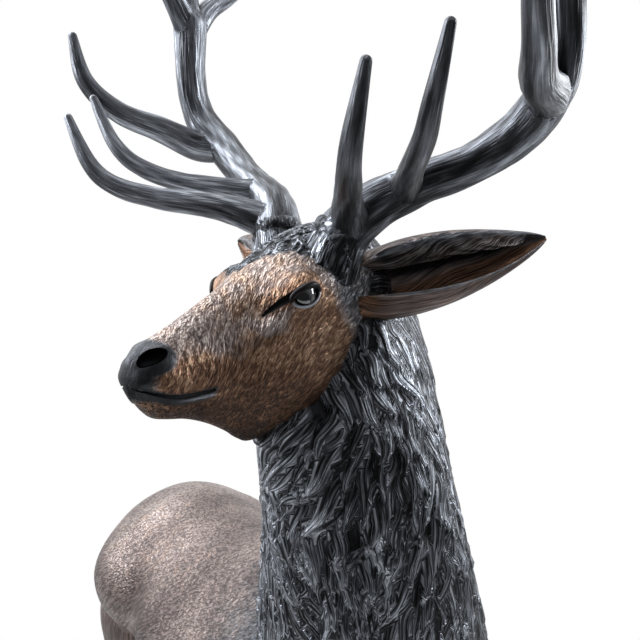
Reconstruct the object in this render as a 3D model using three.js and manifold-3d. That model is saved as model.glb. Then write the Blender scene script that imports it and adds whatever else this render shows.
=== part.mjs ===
// A life-size red deer stag in cast bronze, alert on a low base, its head turned to its right.
// Units are millimetres, +Z is up. The base's underside lies on z = 0, the stag's body faces -Y,
// and its left side is on +X. The figure is drawn standing straight, as outlines in its middle
// plane, and its neck is then turned, section by section.
import * as THREE from "three";
import { mergeVertices } from "three/addons/utils/BufferGeometryUtils.js";
import Module from "manifold-3d";

const wasm = await Module();
wasm.setup();

// ---------------------------------------------------------------- driving dimensions
const BASE = { length: 1560, width: 600, height: 50, corner: 110, bevel: 12, centreForward: -75 };
const HOOF_GAP = 0.3; // the hooves stand on the base with a hair's gap
const HEAD_ORIGIN = { forward: 600, height: 1780 }; // midway between the antler burrs
const HEAD_TURN = THREE.MathUtils.degToRad(71.5); // towards the stag's right
const HEAD_ROLL = THREE.MathUtils.degToRad(-4.6); // the left side a little lower
const TURN_STARTS = 8.5; // the station where the neck begins to turn
const TURN_ENDS = 15.5; // the station where it is fully turned
const LEAN = 80; // the neck also carries the head this far to its right
const RING_SIDES = 32;
const STEPS_PER_STATION = { trunk: 2, neck: 3, head: 2 };

// ---------------------------------------------------------------- outlines of the trunk, neck and head
// Each station joins a point on the back line to one on the belly line, both [forward, height], and
// holds three half-widths at their shares of the way down: [share, half-width].
const trunkStations = [
  { top: [-735, 1075], under: [-738, 935], sides: [[0.25, 42], [0.5, 55], [0.75, 42]] },
  { top: [-718, 1140], under: [-728, 870], sides: [[0.2, 100], [0.5, 128], [0.8, 98]] },
  { top: [-668, 1188], under: [-695, 815], sides: [[0.18, 140], [0.5, 182], [0.82, 135]] },
  { top: [-565, 1226], under: [-600, 790], sides: [[0.15, 158], [0.48, 228], [0.85, 150]] },
  { top: [-440, 1238], under: [-470, 775], sides: [[0.15, 160], [0.46, 242], [0.85, 150]] },
  { top: [-290, 1222], under: [-320, 745], sides: [[0.14, 138], [0.5, 228], [0.86, 140]] },
  { top: [-120, 1206], under: [-140, 706], sides: [[0.13, 124], [0.53, 248], [0.88, 148]] },
  { top: [60, 1214], under: [40, 676], sides: [[0.11, 104], [0.55, 252], [0.9, 140]] },
  { top: [215, 1248], under: [205, 658], sides: [[0.1, 86], [0.52, 238], [0.9, 130]] },
  { top: [290, 1276], under: [360, 684], sides: [[0.1, 88], [0.5, 222], [0.9, 122]] },
  { top: [330, 1318], under: [478, 762], sides: [[0.12, 96], [0.5, 204], [0.88, 118]] },
  { top: [345, 1378], under: [556, 884], sides: [[0.14, 98], [0.5, 184], [0.87, 114]] },
  { top: [350, 1448], under: [600, 1024], sides: [[0.15, 96], [0.5, 166], [0.86, 108]] },
  { top: [352, 1518], under: [624, 1164], sides: [[0.16, 92], [0.5, 150], [0.85, 100]] },
  { top: [360, 1594], under: [634, 1298], sides: [[0.17, 86], [0.5, 134], [0.84, 88]] },
  { top: [382, 1670], under: [644, 1410], sides: [[0.18, 76], [0.5, 118], [0.82, 74]] },
];

// The head's stations, from the throat to the nose, with [forward, height] from the head's origin.
const headStations = [
  { top: [-172, -40], under: [62, -296], sides: [[0.2, 70], [0.48, 104], [0.8, 62]] },
  { top: [-118, 2], under: [76, -285], sides: [[0.16, 62], [0.44, 94], [0.78, 52]] },
  { top: [-62, 24], under: [84, -281], sides: [[0.13, 58], [0.4, 84], [0.75, 50]] },
  { top: [-6, 22], under: [88, -278], sides: [[0.15, 60], [0.38, 82], [0.72, 52]] },
  { top: [45, -4], under: [94, -274], sides: [[0.16, 62], [0.36, 81], [0.72, 50]] },
  { top: [88, -34], under: [106, -267], sides: [[0.14, 58], [0.3, 75], [0.7, 45]] },
  { top: [122, -60], under: [127, -256], sides: [[0.15, 39], [0.4, 56], [0.76, 38]] },
  { top: [156, -84], under: [158, -243], sides: [[0.15, 27], [0.5, 44], [0.8, 31]] },
  { top: [190, -106], under: [190, -235], sides: [[0.15, 23], [0.5, 38], [0.82, 28]] },
  { top: [219, -124], under: [217, -233], sides: [[0.16, 22], [0.48, 36], [0.82, 27]] },
  { top: [243, -138], under: [237, -230], sides: [[0.18, 24], [0.45, 35], [0.82, 22]] },
  { top: [259, -148], under: [251, -221], sides: [[0.2, 23], [0.48, 32], [0.8, 18]] },
  { top: [270, -160], under: [262, -210], sides: [[0.22, 17], [0.5, 25], [0.78, 15]] },
];

// Places where the skin swells (or sinks) over a rounded patch, on both sides of the straight figure:
// [forward, side, height], the patch's half sizes, and how far it is raised.
const fromHead = ([forward, side, up]) => [forward + HEAD_ORIGIN.forward, side, up + HEAD_ORIGIN.height];
const swells = [
  { at: fromHead([84, 70, -80]), halves: [44, 44, 34], raise: 15 }, // orbit
  { at: fromHead([66, 66, -58]), halves: [44, 40, 20], raise: 6 }, // brow
  { at: fromHead([130, 56, -100]), halves: [36, 38, 28], raise: -6 }, // hollow before the eye
  { at: fromHead([66, 64, -196]), halves: [84, 70, 66], raise: 10 }, // cheek
  { at: fromHead([110, 62, -136]), halves: [80, 50, 32], raise: 4 }, // cheekbone
  { at: fromHead([250, 34, -152]), halves: [30, 30, 24], raise: 8 }, // nostril's flare
  { at: [310, 236, 1020], halves: [150, 130, 240], raise: 17 }, // shoulder
  { at: [-515, 232, 960], halves: [200, 150, 240], raise: 24 }, // haunch
  { at: [-430, 168, 1190], halves: [80, 90, 60], raise: 8 }, // point of the hip
  { at: [-320, 222, 960], halves: [110, 120, 170], raise: -18 }, // flank
  { at: [60, 240, 1130], halves: [130, 120, 80], raise: -10 }, // hollow behind the shoulder
];

// ---------------------------------------------------------------- legs
// Level sections from the body down to the hoof: [height, forward, side, half length, half width].
const foreLeg = [
  [1110, 276, 98, 62, 40], [1040, 296, 130, 104, 64],
  [950, 316, 145, 112, 69], [850, 320, 146, 96, 64], [760, 302, 135, 76, 55],
  [690, 286, 125, 61, 47], [600, 290, 118, 48, 39], [500, 299, 113, 38, 32],
  [430, 304, 111, 35, 31], [385, 306, 110, 36, 32], [345, 303, 109, 27, 25],
  [290, 301, 108, 22, 20], [200, 299, 107, 21, 19], [140, 299, 107, 28, 24],
  [108, 303, 107, 28, 25], [78, 314, 107, 24, 24], [52, 325, 107, 28, 30],
];
const hindLeg = [
  [1070, -480, 112, 110, 60], [1000, -498, 137, 150, 84],
  [925, -504, 149, 162, 94], [845, -494, 151, 142, 83], [770, -476, 147, 110, 67],
  [700, -486, 140, 82, 54], [625, -524, 132, 59, 41], [565, -566, 125, 47, 32],
  [515, -594, 122, 43, 30], [470, -600, 121, 37, 29], [420, -594, 120, 27, 24],
  [340, -584, 119, 23, 20], [220, -570, 118, 22, 19], [140, -560, 118, 29, 25],
  [108, -553, 118, 29, 26], [78, -541, 118, 25, 25], [52, -530, 118, 29, 31],
];
const LEG_SIDES = 10;
const stance = { foreLeft: 46, foreRight: -34, hindLeft: -52, hindRight: 38 }; // forward steps
// One toe of the cloven hoof, as level sections: [height, forward of the leg's end, half length, half width].
const toe = [[64, -2, 20, 13], [45, 2, 27, 16], [20, 12, 37, 18], [0, 19, 44, 19]];
const TOE_OUTWARD = 18;
const dewclaw = { height: 96, behind: 30, outward: 14, radius: 10, length: 24 };

// ---------------------------------------------------------------- mane
// Lengths are in stations: about 70 mm each.
const mane = {
  from: 8.6, to: 17.2, fade: 1.4, depth: 17, locksAround: 8, lockLength: 2.3, swing: 0.28, swingLength: 3.1,
};

// ---------------------------------------------------------------- ears, tail and antlers
// Each place is [forward, left, up] from the head's origin.
const ear = { width: 52, thickness: 12 };
const leftEar = { root: [-44, 60, -74], tip: [-218, 226, 8], opensTo: [0.7, 0.66, 0.22] };
const rightEar = { root: [-44, -60, -74], tip: [-108, -262, -6], opensTo: [0.86, -0.3, -0.42] };
const tail = [
  [-722, 1128, 34, 24], [-762, 1090, 30, 22], [-782, 1030, 30, 20], [-782, 965, 24, 16], [-770, 915, 11, 9],
];
// The two beams and tray tines differ a little, as on a real stag; the right side's are mirrored too.
const beams = {
  left: [[6, 42, -52], [0, 62, 0], [-21, 99, 39], [-48, 150, 68], [-82, 200, 94], [-94, 255, 130],
    [-78, 300, 170], [-56, 321, 210], [-36, 328, 262], [-26, 325, 335]],
  right: [[6, 42, -52], [0, 62, 0], [-21, 99, 39], [-42, 156, 68], [-63, 219, 99], [-71, 279, 142],
    [-59, 320, 182], [-46, 332, 220], [-34, 329, 264], [-26, 325, 335]],
};
const trayTines = {
  left: [[-78, 300, 174], [-44, 314, 158], [16, 335, 156], [76, 366, 176], [122, 386, 222], [142, 394, 286]],
  right: [[-70, 288, 150], [-44, 314, 143], [16, 335, 161], [76, 366, 181], [122, 386, 222], [142, 394, 286]],
};
const antler = {
  beamRadii: [24, 33, 30, 26, 25, 27, 26, 24, 24, 27],
  trayRadii: [20, 23, 20, 16.5, 13.5, 7],
  tines: [
    { path: [[2, 72, 14], [58, 120, 30], [126, 181, 38], [169, 219, 52], [192, 243, 80], [210, 270, 139]],
      radii: [23, 18, 15, 13, 11, 6] },
    { path: [[-36, 130, 58], [4, 165, 62], [60, 214, 68], [103, 260, 88], [128, 287, 120], [147, 315, 182]],
      radii: [20, 16, 14, 12.5, 10.5, 6] },
    { path: [[-28, 326, 318], [10, 320, 362], [52, 316, 408], [76, 318, 478]], radii: [22, 17, 13, 5] },
    { path: [[-28, 326, 318], [-58, 322, 366], [-104, 314, 410], [-134, 312, 470]], radii: [22, 17, 13, 5] },
    { path: [[-26, 325, 322], [-22, 336, 390], [-26, 352, 450], [-30, 356, 524]], radii: [23, 18, 13, 5] },
  ],
  sides: 6,
  burr: { radius: 38, height: 20 },
};

// ---------------------------------------------------------------- face
// Places are from the head's origin; halves are half sizes forward, sideways and up.
const face = {
  socket: { place: [90, 86, -88], halves: [21, 12, 13] },
  eye: { place: [90, 75, -88], halves: [17, 9, 12] },
  nostril: { place: [254, 33, -157], halves: [17, 10, 11] },
  mouth: [[190, 42, -209], [212, 39, -207], [236, 33, -203], [254, 23, -200], [263, 0, -199]],
  mouthRadius: 3.6,
};

// ---------------------------------------------------------------- curves and skins
// A uniform Catmull-Rom blend of four equally spaced values.
function blend(a, b, c, d, t) {
  return 0.5 * (2 * b + (c - a) * t + (2 * a - 5 * b + 4 * c - d) * t * t
    + (3 * b - a - 3 * c + d) * t * t * t);
}

// A row of numbers between rows i and i + 1 of an open table.
function rowAt(table, i, t) {
  const row = (k) => table[THREE.MathUtils.clamp(k, 0, table.length - 1)];
  return row(i).map((_, c) => blend(row(i - 1)[c], row(i)[c], row(i + 1)[c], row(i + 2)[c], t));
}

// A table resampled with its own number of steps after each row.
function resample(table, stepsAfter) {
  const rows = [];
  for (let i = 0; i < table.length - 1; i++) {
    const steps = stepsAfter(i);
    for (let k = 0; k < steps; k++) rows.push({ place: i + k / steps, row: rowAt(table, i, k / steps) });
  }
  rows.push({ place: table.length - 1, row: table[table.length - 1] });
  return rows;
}

// Rings of points, all with one count, skinned into a closed surface with a fan over each end.
function skin(rings) {
  const sides = rings[0].length;
  const points = rings.flat();
  const centreOf = (ring) => ring.reduce((sum, p) => sum.add(p), new THREE.Vector3()).divideScalar(sides);
  const first = points.push(centreOf(rings[0])) - 1;
  const last = points.push(centreOf(rings[rings.length - 1])) - 1;
  const faces = [];
  for (let r = 0; r < rings.length - 1; r++)
    for (let s = 0; s < sides; s++) {
      const a = r * sides + s;
      const b = r * sides + ((s + 1) % sides);
      const [c, d] = [b + sides, a + sides];
      // the quad is split along its shorter diagonal
      if (points[a].distanceTo(points[c]) < points[b].distanceTo(points[d])) faces.push(a, b, c, a, c, d);
      else faces.push(a, b, d, b, c, d);
    }
  const end = (rings.length - 1) * sides;
  for (let s = 0; s < sides; s++) {
    faces.push(first, (s + 1) % sides, s);
    faces.push(last, end + s, end + ((s + 1) % sides));
  }
  const geometry = new THREE.BufferGeometry().setFromPoints(points);
  geometry.setIndex(faces);
  return geometry;
}

// ---------------------------------------------------------------- solids
// A closed geometry as a solid; one whose faces point inwards is turned round first.
function solidOf(geometry) {
  const bare = new THREE.BufferGeometry().setAttribute("position", geometry.getAttribute("position"));
  bare.setIndex(geometry.getIndex());
  const merged = mergeVertices(bare, 1e-3);
  const triVerts = new Uint32Array(merged.index.array);
  const vertProperties = new Float32Array(merged.attributes.position.array);
  const made = new wasm.Manifold(new wasm.Mesh({ numProp: 3, vertProperties, triVerts }));
  if (made.volume() > 0) return made;
  for (let i = 0; i < triVerts.length; i += 3) {
    const second = triVerts[i + 1];
    triVerts[i + 1] = triVerts[i + 2];
    triVerts[i + 2] = second;
  }
  return new wasm.Manifold(new wasm.Mesh({ numProp: 3, vertProperties, triVerts }));
}

const joined = (solids) => solids.reduce((sum, solid) => sum.add(solid));

function geometryOf(solid) {
  const mesh = solid.getMesh();
  const geometry = new THREE.BufferGeometry();
  const positions = new Float32Array(mesh.numVert * 3);
  for (let v = 0; v < mesh.numVert; v++)
    positions.set(mesh.vertProperties.subarray(v * mesh.numProp, v * mesh.numProp + 3), v * 3);
  geometry.setAttribute("position", new THREE.BufferAttribute(positions, 3));
  geometry.setIndex(new THREE.BufferAttribute(mesh.triVerts, 1));
  return geometry;
}

// ---------------------------------------------------------------- the turned neck
const allStations = [
  ...trunkStations,
  ...headStations.map(({ top, under, sides }) => ({
    top: [top[0] + HEAD_ORIGIN.forward, top[1] + HEAD_ORIGIN.height],
    under: [under[0] + HEAD_ORIGIN.forward, under[1] + HEAD_ORIGIN.height],
    sides,
  })),
];
const stationTable = allStations.map(({ top, under, sides }) => [...top, ...under, ...sides.flat()]);

// A level turn towards the stag's right, after a roll about the straight figure's forward line.
function turnAt(place) {
  const share = THREE.MathUtils.smoothstep(place, TURN_STARTS, TURN_ENDS);
  const turn = new THREE.Matrix4().makeRotationZ(-HEAD_TURN * share);
  return turn.multiply(new THREE.Matrix4().makeRotationY(-HEAD_ROLL * share));
}

const onMiddle = (forward, height) => new THREE.Vector3(0, -forward, height);

// The sampled stations, each with its chord, its turn and the turned place of its chord's middle.
function poseSections() {
  const samples = resample(stationTable, (i) => {
    if (i < TURN_STARTS - 1) return STEPS_PER_STATION.trunk;
    return i < trunkStations.length ? STEPS_PER_STATION.neck : STEPS_PER_STATION.head;
  });
  const sections = samples.map(({ place, row }) => {
    const top = onMiddle(row[0], row[1]);
    const under = onMiddle(row[2], row[3]);
    const sides = [[row[4], row[5]], [row[6], row[7]], [row[8], row[9]]];
    const straight = top.clone().add(under).multiplyScalar(0.5);
    return { place, top, under, sides, straight, turn: turnAt(place) };
  });
  sections[0].middle = sections[0].straight.clone();
  for (let i = 1; i < sections.length; i++) {
    const step = sections[i].straight.clone().sub(sections[i - 1].straight);
    const halfTurn = turnAt((sections[i].place + sections[i - 1].place) / 2);
    sections[i].middle = sections[i - 1].middle.clone().add(step.applyMatrix4(halfTurn));
  }
  for (const section of sections)
    section.middle.x -= LEAN * THREE.MathUtils.smoothstep(section.place, TURN_STARTS, trunkStations.length);
  return sections;
}
const sections = poseSections();

// A point of the straight figure, moved rigidly with one section.
const carried = (point, section) =>
  point.clone().sub(section.straight).applyMatrix4(section.turn).add(section.middle);

const skull = sections[sections.length - 1];
const atHead = ([forward, left, up]) =>
  carried(new THREE.Vector3(left, -(forward + HEAD_ORIGIN.forward), up + HEAD_ORIGIN.height), skull);

// A section's outline: a closed smooth curve through its top, its three side widths, its underside
// and the same widths on the other flank.
function outline({ top, under, sides }) {
  const along = (share) => top.clone().lerp(under, share);
  const left = sides.map(([share, half]) => along(share).add(new THREE.Vector3(half, 0, 0)));
  const right = sides.map(([share, half]) => along(share).add(new THREE.Vector3(-half, 0, 0)));
  const knots = [top, ...left, under, ...right.reverse()];
  const points = [];
  for (let s = 0; s < RING_SIDES; s++) {
    const at = (s / RING_SIDES) * knots.length;
    const k = Math.floor(at);
    const knot = (n) => knots[(k + n + knots.length) % knots.length];
    points.push(new THREE.Vector3(...["x", "y", "z"].map((axis) =>
      blend(knot(-1)[axis], knot(0)[axis], knot(1)[axis], knot(2)[axis], at - k))));
  }
  return points;
}

// The mane's relief at a place along the neck and a share of the way round from the nape. Each lock is
// a rounded ridge that swings from side to side; it swells towards its tip, then drops to the next one.
function maneRelief(place, around) {
  const { from, to, fade, depth, locksAround, lockLength, swing, swingLength } = mane;
  const cover = THREE.MathUtils.smoothstep(place, from, from + fade) *
    (1 - THREE.MathUtils.smoothstep(place, to - fade, to));
  if (cover === 0) return 0;
  const lane = around * locksAround + swing * Math.sin(2 * Math.PI * (place / swingLength + 2 * around));
  const ridge = Math.abs(Math.sin(Math.PI * lane));
  const drop = ((to - place) / lockLength + 0.381966 * Math.floor(lane)) % 1; // staggered by the golden share
  return depth * cover * (ridge * (0.45 + 0.55 * drop) - 0.35);
}

// How far the swells raise a point of the straight figure.
function swellAt(point) {
  return swells.reduce((sum, { at, halves, raise }) => {
    const away = new THREE.Vector3(
      (-point.y - at[0]) / halves[0], (Math.abs(point.x) - at[1]) / halves[1], (point.z - at[2]) / halves[2]);
    return sum + raise * Math.max(0, 1 - away.lengthSq()) ** 2;
  }, 0);
}

function bodySkin() {
  const rings = sections.map((section) => outline(section).map((point, s) => {
    const outwards = point.clone().sub(section.straight).normalize();
    const raised = swellAt(point) + maneRelief(section.place, s / RING_SIDES);
    return carried(point.clone().addScaledVector(outwards, raised), section);
  }));
  return solidOf(skin(rings));
}

// ---------------------------------------------------------------- limbs
function ellipseRing(centre, halfForward, halfSide, sides) {
  return Array.from({ length: sides }, (_, s) => {
    const angle = (2 * Math.PI * s) / sides;
    return new THREE.Vector3(
      centre.x + halfSide * Math.cos(angle), centre.y - halfForward * Math.sin(angle), centre.z);
  });
}

function leg(table, side, step) {
  const levels = resample(table, () => 1).map(({ row }) => row);
  const shift = (height) => step * THREE.MathUtils.clamp((table[2][0] - height) / table[2][0], 0, 1);
  const rings = levels.map(([height, forward, out, halfForward, halfSide]) => {
    const centre = new THREE.Vector3(side * out, -(forward + shift(height)), height);
    return ellipseRing(centre, halfForward, halfSide, LEG_SIDES);
  });
  const [footHeight, footForward, footOut] = table[table.length - 1];
  const foot = new THREE.Vector3(side * footOut, -(footForward + shift(footHeight)), 0);
  const toes = [-1, 1].map((half) => solidOf(skin(toe.map(([height, ahead, halfLength, halfWidth]) =>
    ellipseRing(new THREE.Vector3(foot.x + half * TOE_OUTWARD, foot.y - ahead, height + HOOF_GAP),
      halfLength, halfWidth, 7)))));
  const claws = [-1, 1].map((half) => {
    const cone = new THREE.ConeGeometry(dewclaw.radius, dewclaw.length, 5);
    cone.rotateX(Math.PI);
    cone.translate(foot.x + half * dewclaw.outward, foot.y + dewclaw.behind, dewclaw.height);
    return solidOf(cone);
  });
  return joined([solidOf(skin(rings)), ...toes, ...claws]);
}

// ---------------------------------------------------------------- tubes, ears and tail
// A tapering round tube along a smooth path, closed at both ends.
function taperedTube(path, radii, sides, stepsPerSpan = 2) {
  const table = path.map((p, i) => [...p.toArray(), radii[i]]);
  const curve = resample(table, () => stepsPerSpan).map(({ row }) => row);
  const centres = curve.map(([x, y, z]) => new THREE.Vector3(x, y, z));
  let across = null;
  const rings = curve.map((row, i) => {
    const ahead = centres[Math.min(i + 1, centres.length - 1)];
    const behind = centres[Math.max(i - 1, 0)];
    const along = ahead.clone().sub(behind).normalize();
    across ??= new THREE.Vector3(0.3, 1, 0.2);
    across = across.clone().addScaledVector(along, -across.dot(along)).normalize();
    const third = along.clone().cross(across);
    return Array.from({ length: sides }, (_, s) => {
      const angle = (2 * Math.PI * s) / sides;
      return centres[i].clone().addScaledVector(across, row[3] * Math.cos(angle))
        .addScaledVector(third, row[3] * Math.sin(angle));
    });
  });
  return solidOf(skin(rings));
}

const mirroredPlace = ([forward, left, up]) => [forward, -left, up];

function antlerSolid(placed, beam, trayTine) {
  const { beamRadii, trayRadii, sides, burr } = antler;
  const tines = [...antler.tines, { path: trayTine, radii: trayRadii }];
  const route = (path) => path.map((p) => atHead(placed(p)));
  const beamTube = taperedTube(route(beam), beamRadii, sides + 2);
  const tineTubes = tines.map(({ path, radii }) => taperedTube(route(path), radii, sides, 1));
  const along = new THREE.Vector3().subVectors(...route([beam[2], beam[1]])).normalize();
  const seat = atHead(placed(beam[1]));
  const ends = [-1, -0.5, 0.5, 1].map((k) => seat.clone().addScaledVector(along, (k * burr.height) / 2));
  const burrRing = taperedTube(ends, [0.86, 1, 1, 0.86].map((k) => k * burr.radius), 9, 1);
  return joined([beamTube, ...tineTubes, burrRing]);
}

// A cupped leaf: a thin wall bent around its hollow, wide at the middle and pointed at the tip.
function earSolid(oneEar) {
  const root = atHead(oneEar.root);
  const tip = atHead(oneEar.tip);
  const opens = atHead(oneEar.opensTo).sub(atHead([0, 0, 0])).normalize();
  const along = tip.clone().sub(root).normalize();
  const facing = opens.addScaledVector(along, -opens.dot(along)).normalize();
  const across = along.clone().cross(facing);
  const ARC = 7; // points on each face of the wall
  const rings = [0, 0.12, 0.27, 0.44, 0.6, 0.75, 0.87, 0.95, 1].map((share) => {
    const radius = ear.width * Math.max(0.22, Math.pow(Math.sin(Math.PI * (0.1 + 0.86 * share) ** 0.8), 0.7));
    const wrap = THREE.MathUtils.lerp(2.35, 1.4, share); // half the angle that the wall bends through
    const centre = root.clone().lerp(tip, share).addScaledVector(facing, 0.2 * ear.width);
    const at = (angle, r) => centre.clone().addScaledVector(facing, -r * Math.cos(angle) * 0.7)
      .addScaledVector(across, r * Math.sin(angle));
    const hollow = radius - Math.min(ear.thickness, 0.5 * radius);
    const ring = [];
    for (let k = 0; k < ARC; k++) ring.push(at(wrap * ((2 * k) / (ARC - 1) - 1), radius));
    for (let k = 0; k < ARC; k++) ring.push(at(wrap * (1 - (2 * k) / (ARC - 1)), hollow));
    return ring;
  });
  return solidOf(skin(rings));
}

function tailSolid() {
  const rings = tail.map(([forward, height, halfSide, halfDeep]) =>
    ellipseRing(onMiddle(forward, height), halfDeep, halfSide, 8));
  return solidOf(skin(rings));
}

// ---------------------------------------------------------------- the face
// A round lump at a place on the head, stretched along the head's own three directions.
function lump(place, [halfForward, halfLeft, halfUp]) {
  const ball = new THREE.SphereGeometry(1, 9, 6);
  const centre = atHead([0, 0, 0]);
  const axes = [[0, halfLeft, 0], [-halfForward, 0, 0], [0, 0, halfUp]].map((p) => atHead(p).sub(centre));
  ball.applyMatrix4(new THREE.Matrix4().makeBasis(...axes).setPosition(atHead(place)));
  return solidOf(ball);
}

function faceDetails(body) {
  const cut = [];
  for (const placed of [(p) => p, mirroredPlace]) {
    cut.push(lump(placed(face.socket.place), face.socket.halves));
    cut.push(lump(placed(face.nostril.place), face.nostril.halves));
  }
  const lips = [...face.mouth, ...face.mouth.slice(0, -1).reverse().map(mirroredPlace)];
  cut.push(taperedTube(lips.map(atHead), lips.map(() => face.mouthRadius), 5, 1));
  const balls = [face.eye.place, mirroredPlace(face.eye.place)].map((place) => lump(place, face.eye.halves));
  return joined([body.subtract(joined(cut)), ...balls]);
}

// ---------------------------------------------------------------- the base
function baseGeometry() {
  const { length, width, height, corner, bevel, centreForward } = BASE;
  const halfLength = length / 2 - bevel;
  const halfWidth = width / 2 - bevel;
  const shape = new THREE.Shape();
  shape.moveTo(-halfWidth + corner, -halfLength);
  shape.lineTo(halfWidth - corner, -halfLength);
  shape.absarc(halfWidth - corner, -halfLength + corner, corner, -Math.PI / 2, 0);
  shape.lineTo(halfWidth, halfLength - corner);
  shape.absarc(halfWidth - corner, halfLength - corner, corner, 0, Math.PI / 2);
  shape.lineTo(-halfWidth + corner, halfLength);
  shape.absarc(-halfWidth + corner, halfLength - corner, corner, Math.PI / 2, Math.PI);
  shape.lineTo(-halfWidth, -halfLength + corner);
  shape.absarc(-halfWidth + corner, -halfLength + corner, corner, Math.PI, 1.5 * Math.PI);
  const slab = new THREE.ExtrudeGeometry(shape, {
    depth: height - 2 * bevel, bevelEnabled: true, bevelThickness: bevel, bevelSize: bevel,
    bevelSegments: 1, curveSegments: 5,
  });
  slab.translate(0, -centreForward, bevel);
  return geometryOf(solidOf(slab));
}

// ---------------------------------------------------------------- the whole figure
function stagGeometry() {
  const solids = [
    faceDetails(bodySkin()),
    leg(foreLeg, 1, stance.foreLeft), leg(foreLeg, -1, stance.foreRight),
    leg(hindLeg, 1, stance.hindLeft), leg(hindLeg, -1, stance.hindRight),
    tailSolid(),
    earSolid(leftEar), earSolid(rightEar),
    antlerSolid((p) => p, beams.left, trayTines.left),
    antlerSolid(mirroredPlace, beams.right, trayTines.right),
  ];
  return geometryOf(joined(solids));
}

const bronze = new THREE.MeshStandardMaterial({ color: 0x3a322d, roughness: 0.42, metalness: 0.85 });
const baseBronze = new THREE.MeshStandardMaterial({ color: 0x2b2724, roughness: 0.5, metalness: 0.85 });

const stag = new THREE.Mesh(stagGeometry(), bronze);
stag.name = "stag";
stag.position.set(0, 0, BASE.height);

const base = new THREE.Mesh(baseGeometry(), baseBronze);
base.name = "base";

const figure = new THREE.Group();
figure.add(stag, base);
export default figure;
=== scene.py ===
# %% [markdown]
# # A standing red deer stag in cast bronze
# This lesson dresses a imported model: a life-size stag on a low base. The real one is a hollow
# casting, chased by hand and coloured with acids and wax, so nearly everything that catches the eye
# is surface: locks of mane, short curls on the brow, and a patina that is dark in the hollows and
# rubbed paler on the ridges. We load the frame first, because every size comes from it.

# %% Load the frame
import math

import bpy
import numpy as np
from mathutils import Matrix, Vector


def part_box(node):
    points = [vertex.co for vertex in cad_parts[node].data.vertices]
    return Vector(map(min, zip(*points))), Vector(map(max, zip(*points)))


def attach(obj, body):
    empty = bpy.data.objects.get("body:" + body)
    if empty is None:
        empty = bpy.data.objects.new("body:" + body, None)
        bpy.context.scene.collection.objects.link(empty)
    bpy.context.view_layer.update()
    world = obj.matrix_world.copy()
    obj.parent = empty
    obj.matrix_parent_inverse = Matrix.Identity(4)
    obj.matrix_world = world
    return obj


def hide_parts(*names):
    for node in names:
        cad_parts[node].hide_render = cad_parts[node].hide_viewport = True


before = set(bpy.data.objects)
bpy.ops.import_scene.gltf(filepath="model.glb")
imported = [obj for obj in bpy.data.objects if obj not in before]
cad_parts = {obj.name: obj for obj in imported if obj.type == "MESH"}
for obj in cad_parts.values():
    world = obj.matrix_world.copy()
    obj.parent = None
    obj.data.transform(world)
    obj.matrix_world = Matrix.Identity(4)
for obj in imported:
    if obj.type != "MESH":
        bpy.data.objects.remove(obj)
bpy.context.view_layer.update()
BASE_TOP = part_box("base")[1][2]
print("nodes", sorted(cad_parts), "base top", round(BASE_TOP, 4))

# %% [markdown]
# ## Camera, floor and light
# The camera stands in front of the stag and a little to its right, level with the throat, so the
# turned head shows three quarters of its left side.
#
# Dark bronze shows mostly what it reflects, so the lights are large and soft: one overhead, called
# the sky, and a window at each side. The world around them is bright above and beyond the figure and
# dim below, so upper sides shine pale and undersides stay nearly black. The camera itself sees that
# world as plain white, which is a second, separate colour chosen by the Is Camera Ray output.

# %% Camera
VIEW_AZIMUTH = math.radians(27.5)
VIEW_RIGHT = np.array([math.cos(VIEW_AZIMUTH), -math.sin(VIEW_AZIMUTH), 0.0])
VIEW_AHEAD = np.array([math.sin(VIEW_AZIMUTH), math.cos(VIEW_AZIMUTH), 0.0])
CAMERA_PLACE = (-0.68223, -1.51034, 1.71125)
camera = bpy.data.objects.new("camera", bpy.data.cameras.new("camera"))
camera.data.lens = 45
camera.data.sensor_width = 36
camera.data.clip_end = 100
camera.location = CAMERA_PLACE
camera.rotation_euler = (math.pi / 2, 0, -VIEW_AZIMUTH)
bpy.context.collection.objects.link(camera)
bpy.context.scene.camera = camera
print("camera at", tuple(round(c, 3) for c in camera.location))


# %% A finish, and arithmetic on its sockets
class Wire:
    """An output socket that can be used in Python arithmetic: every sign adds one Math node."""

    def __init__(self, finish, socket):
        self.finish = finish
        self.socket = socket

    def sum_up(self, operation, *values):
        """A new Math node for one sign, with the values on its inputs."""
        return self.finish.node("ShaderNodeMath", {"operation": operation}, dict(enumerate(values)))

    def __add__(self, other):
        return self.sum_up("ADD", self, other)

    __radd__ = __add__

    def __sub__(self, other):
        return self.sum_up("SUBTRACT", self, other)

    def __rsub__(self, other):
        return self.sum_up("SUBTRACT", other, self)

    def __mul__(self, other):
        return self.sum_up("MULTIPLY", self, other)

    __rmul__ = __mul__


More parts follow.
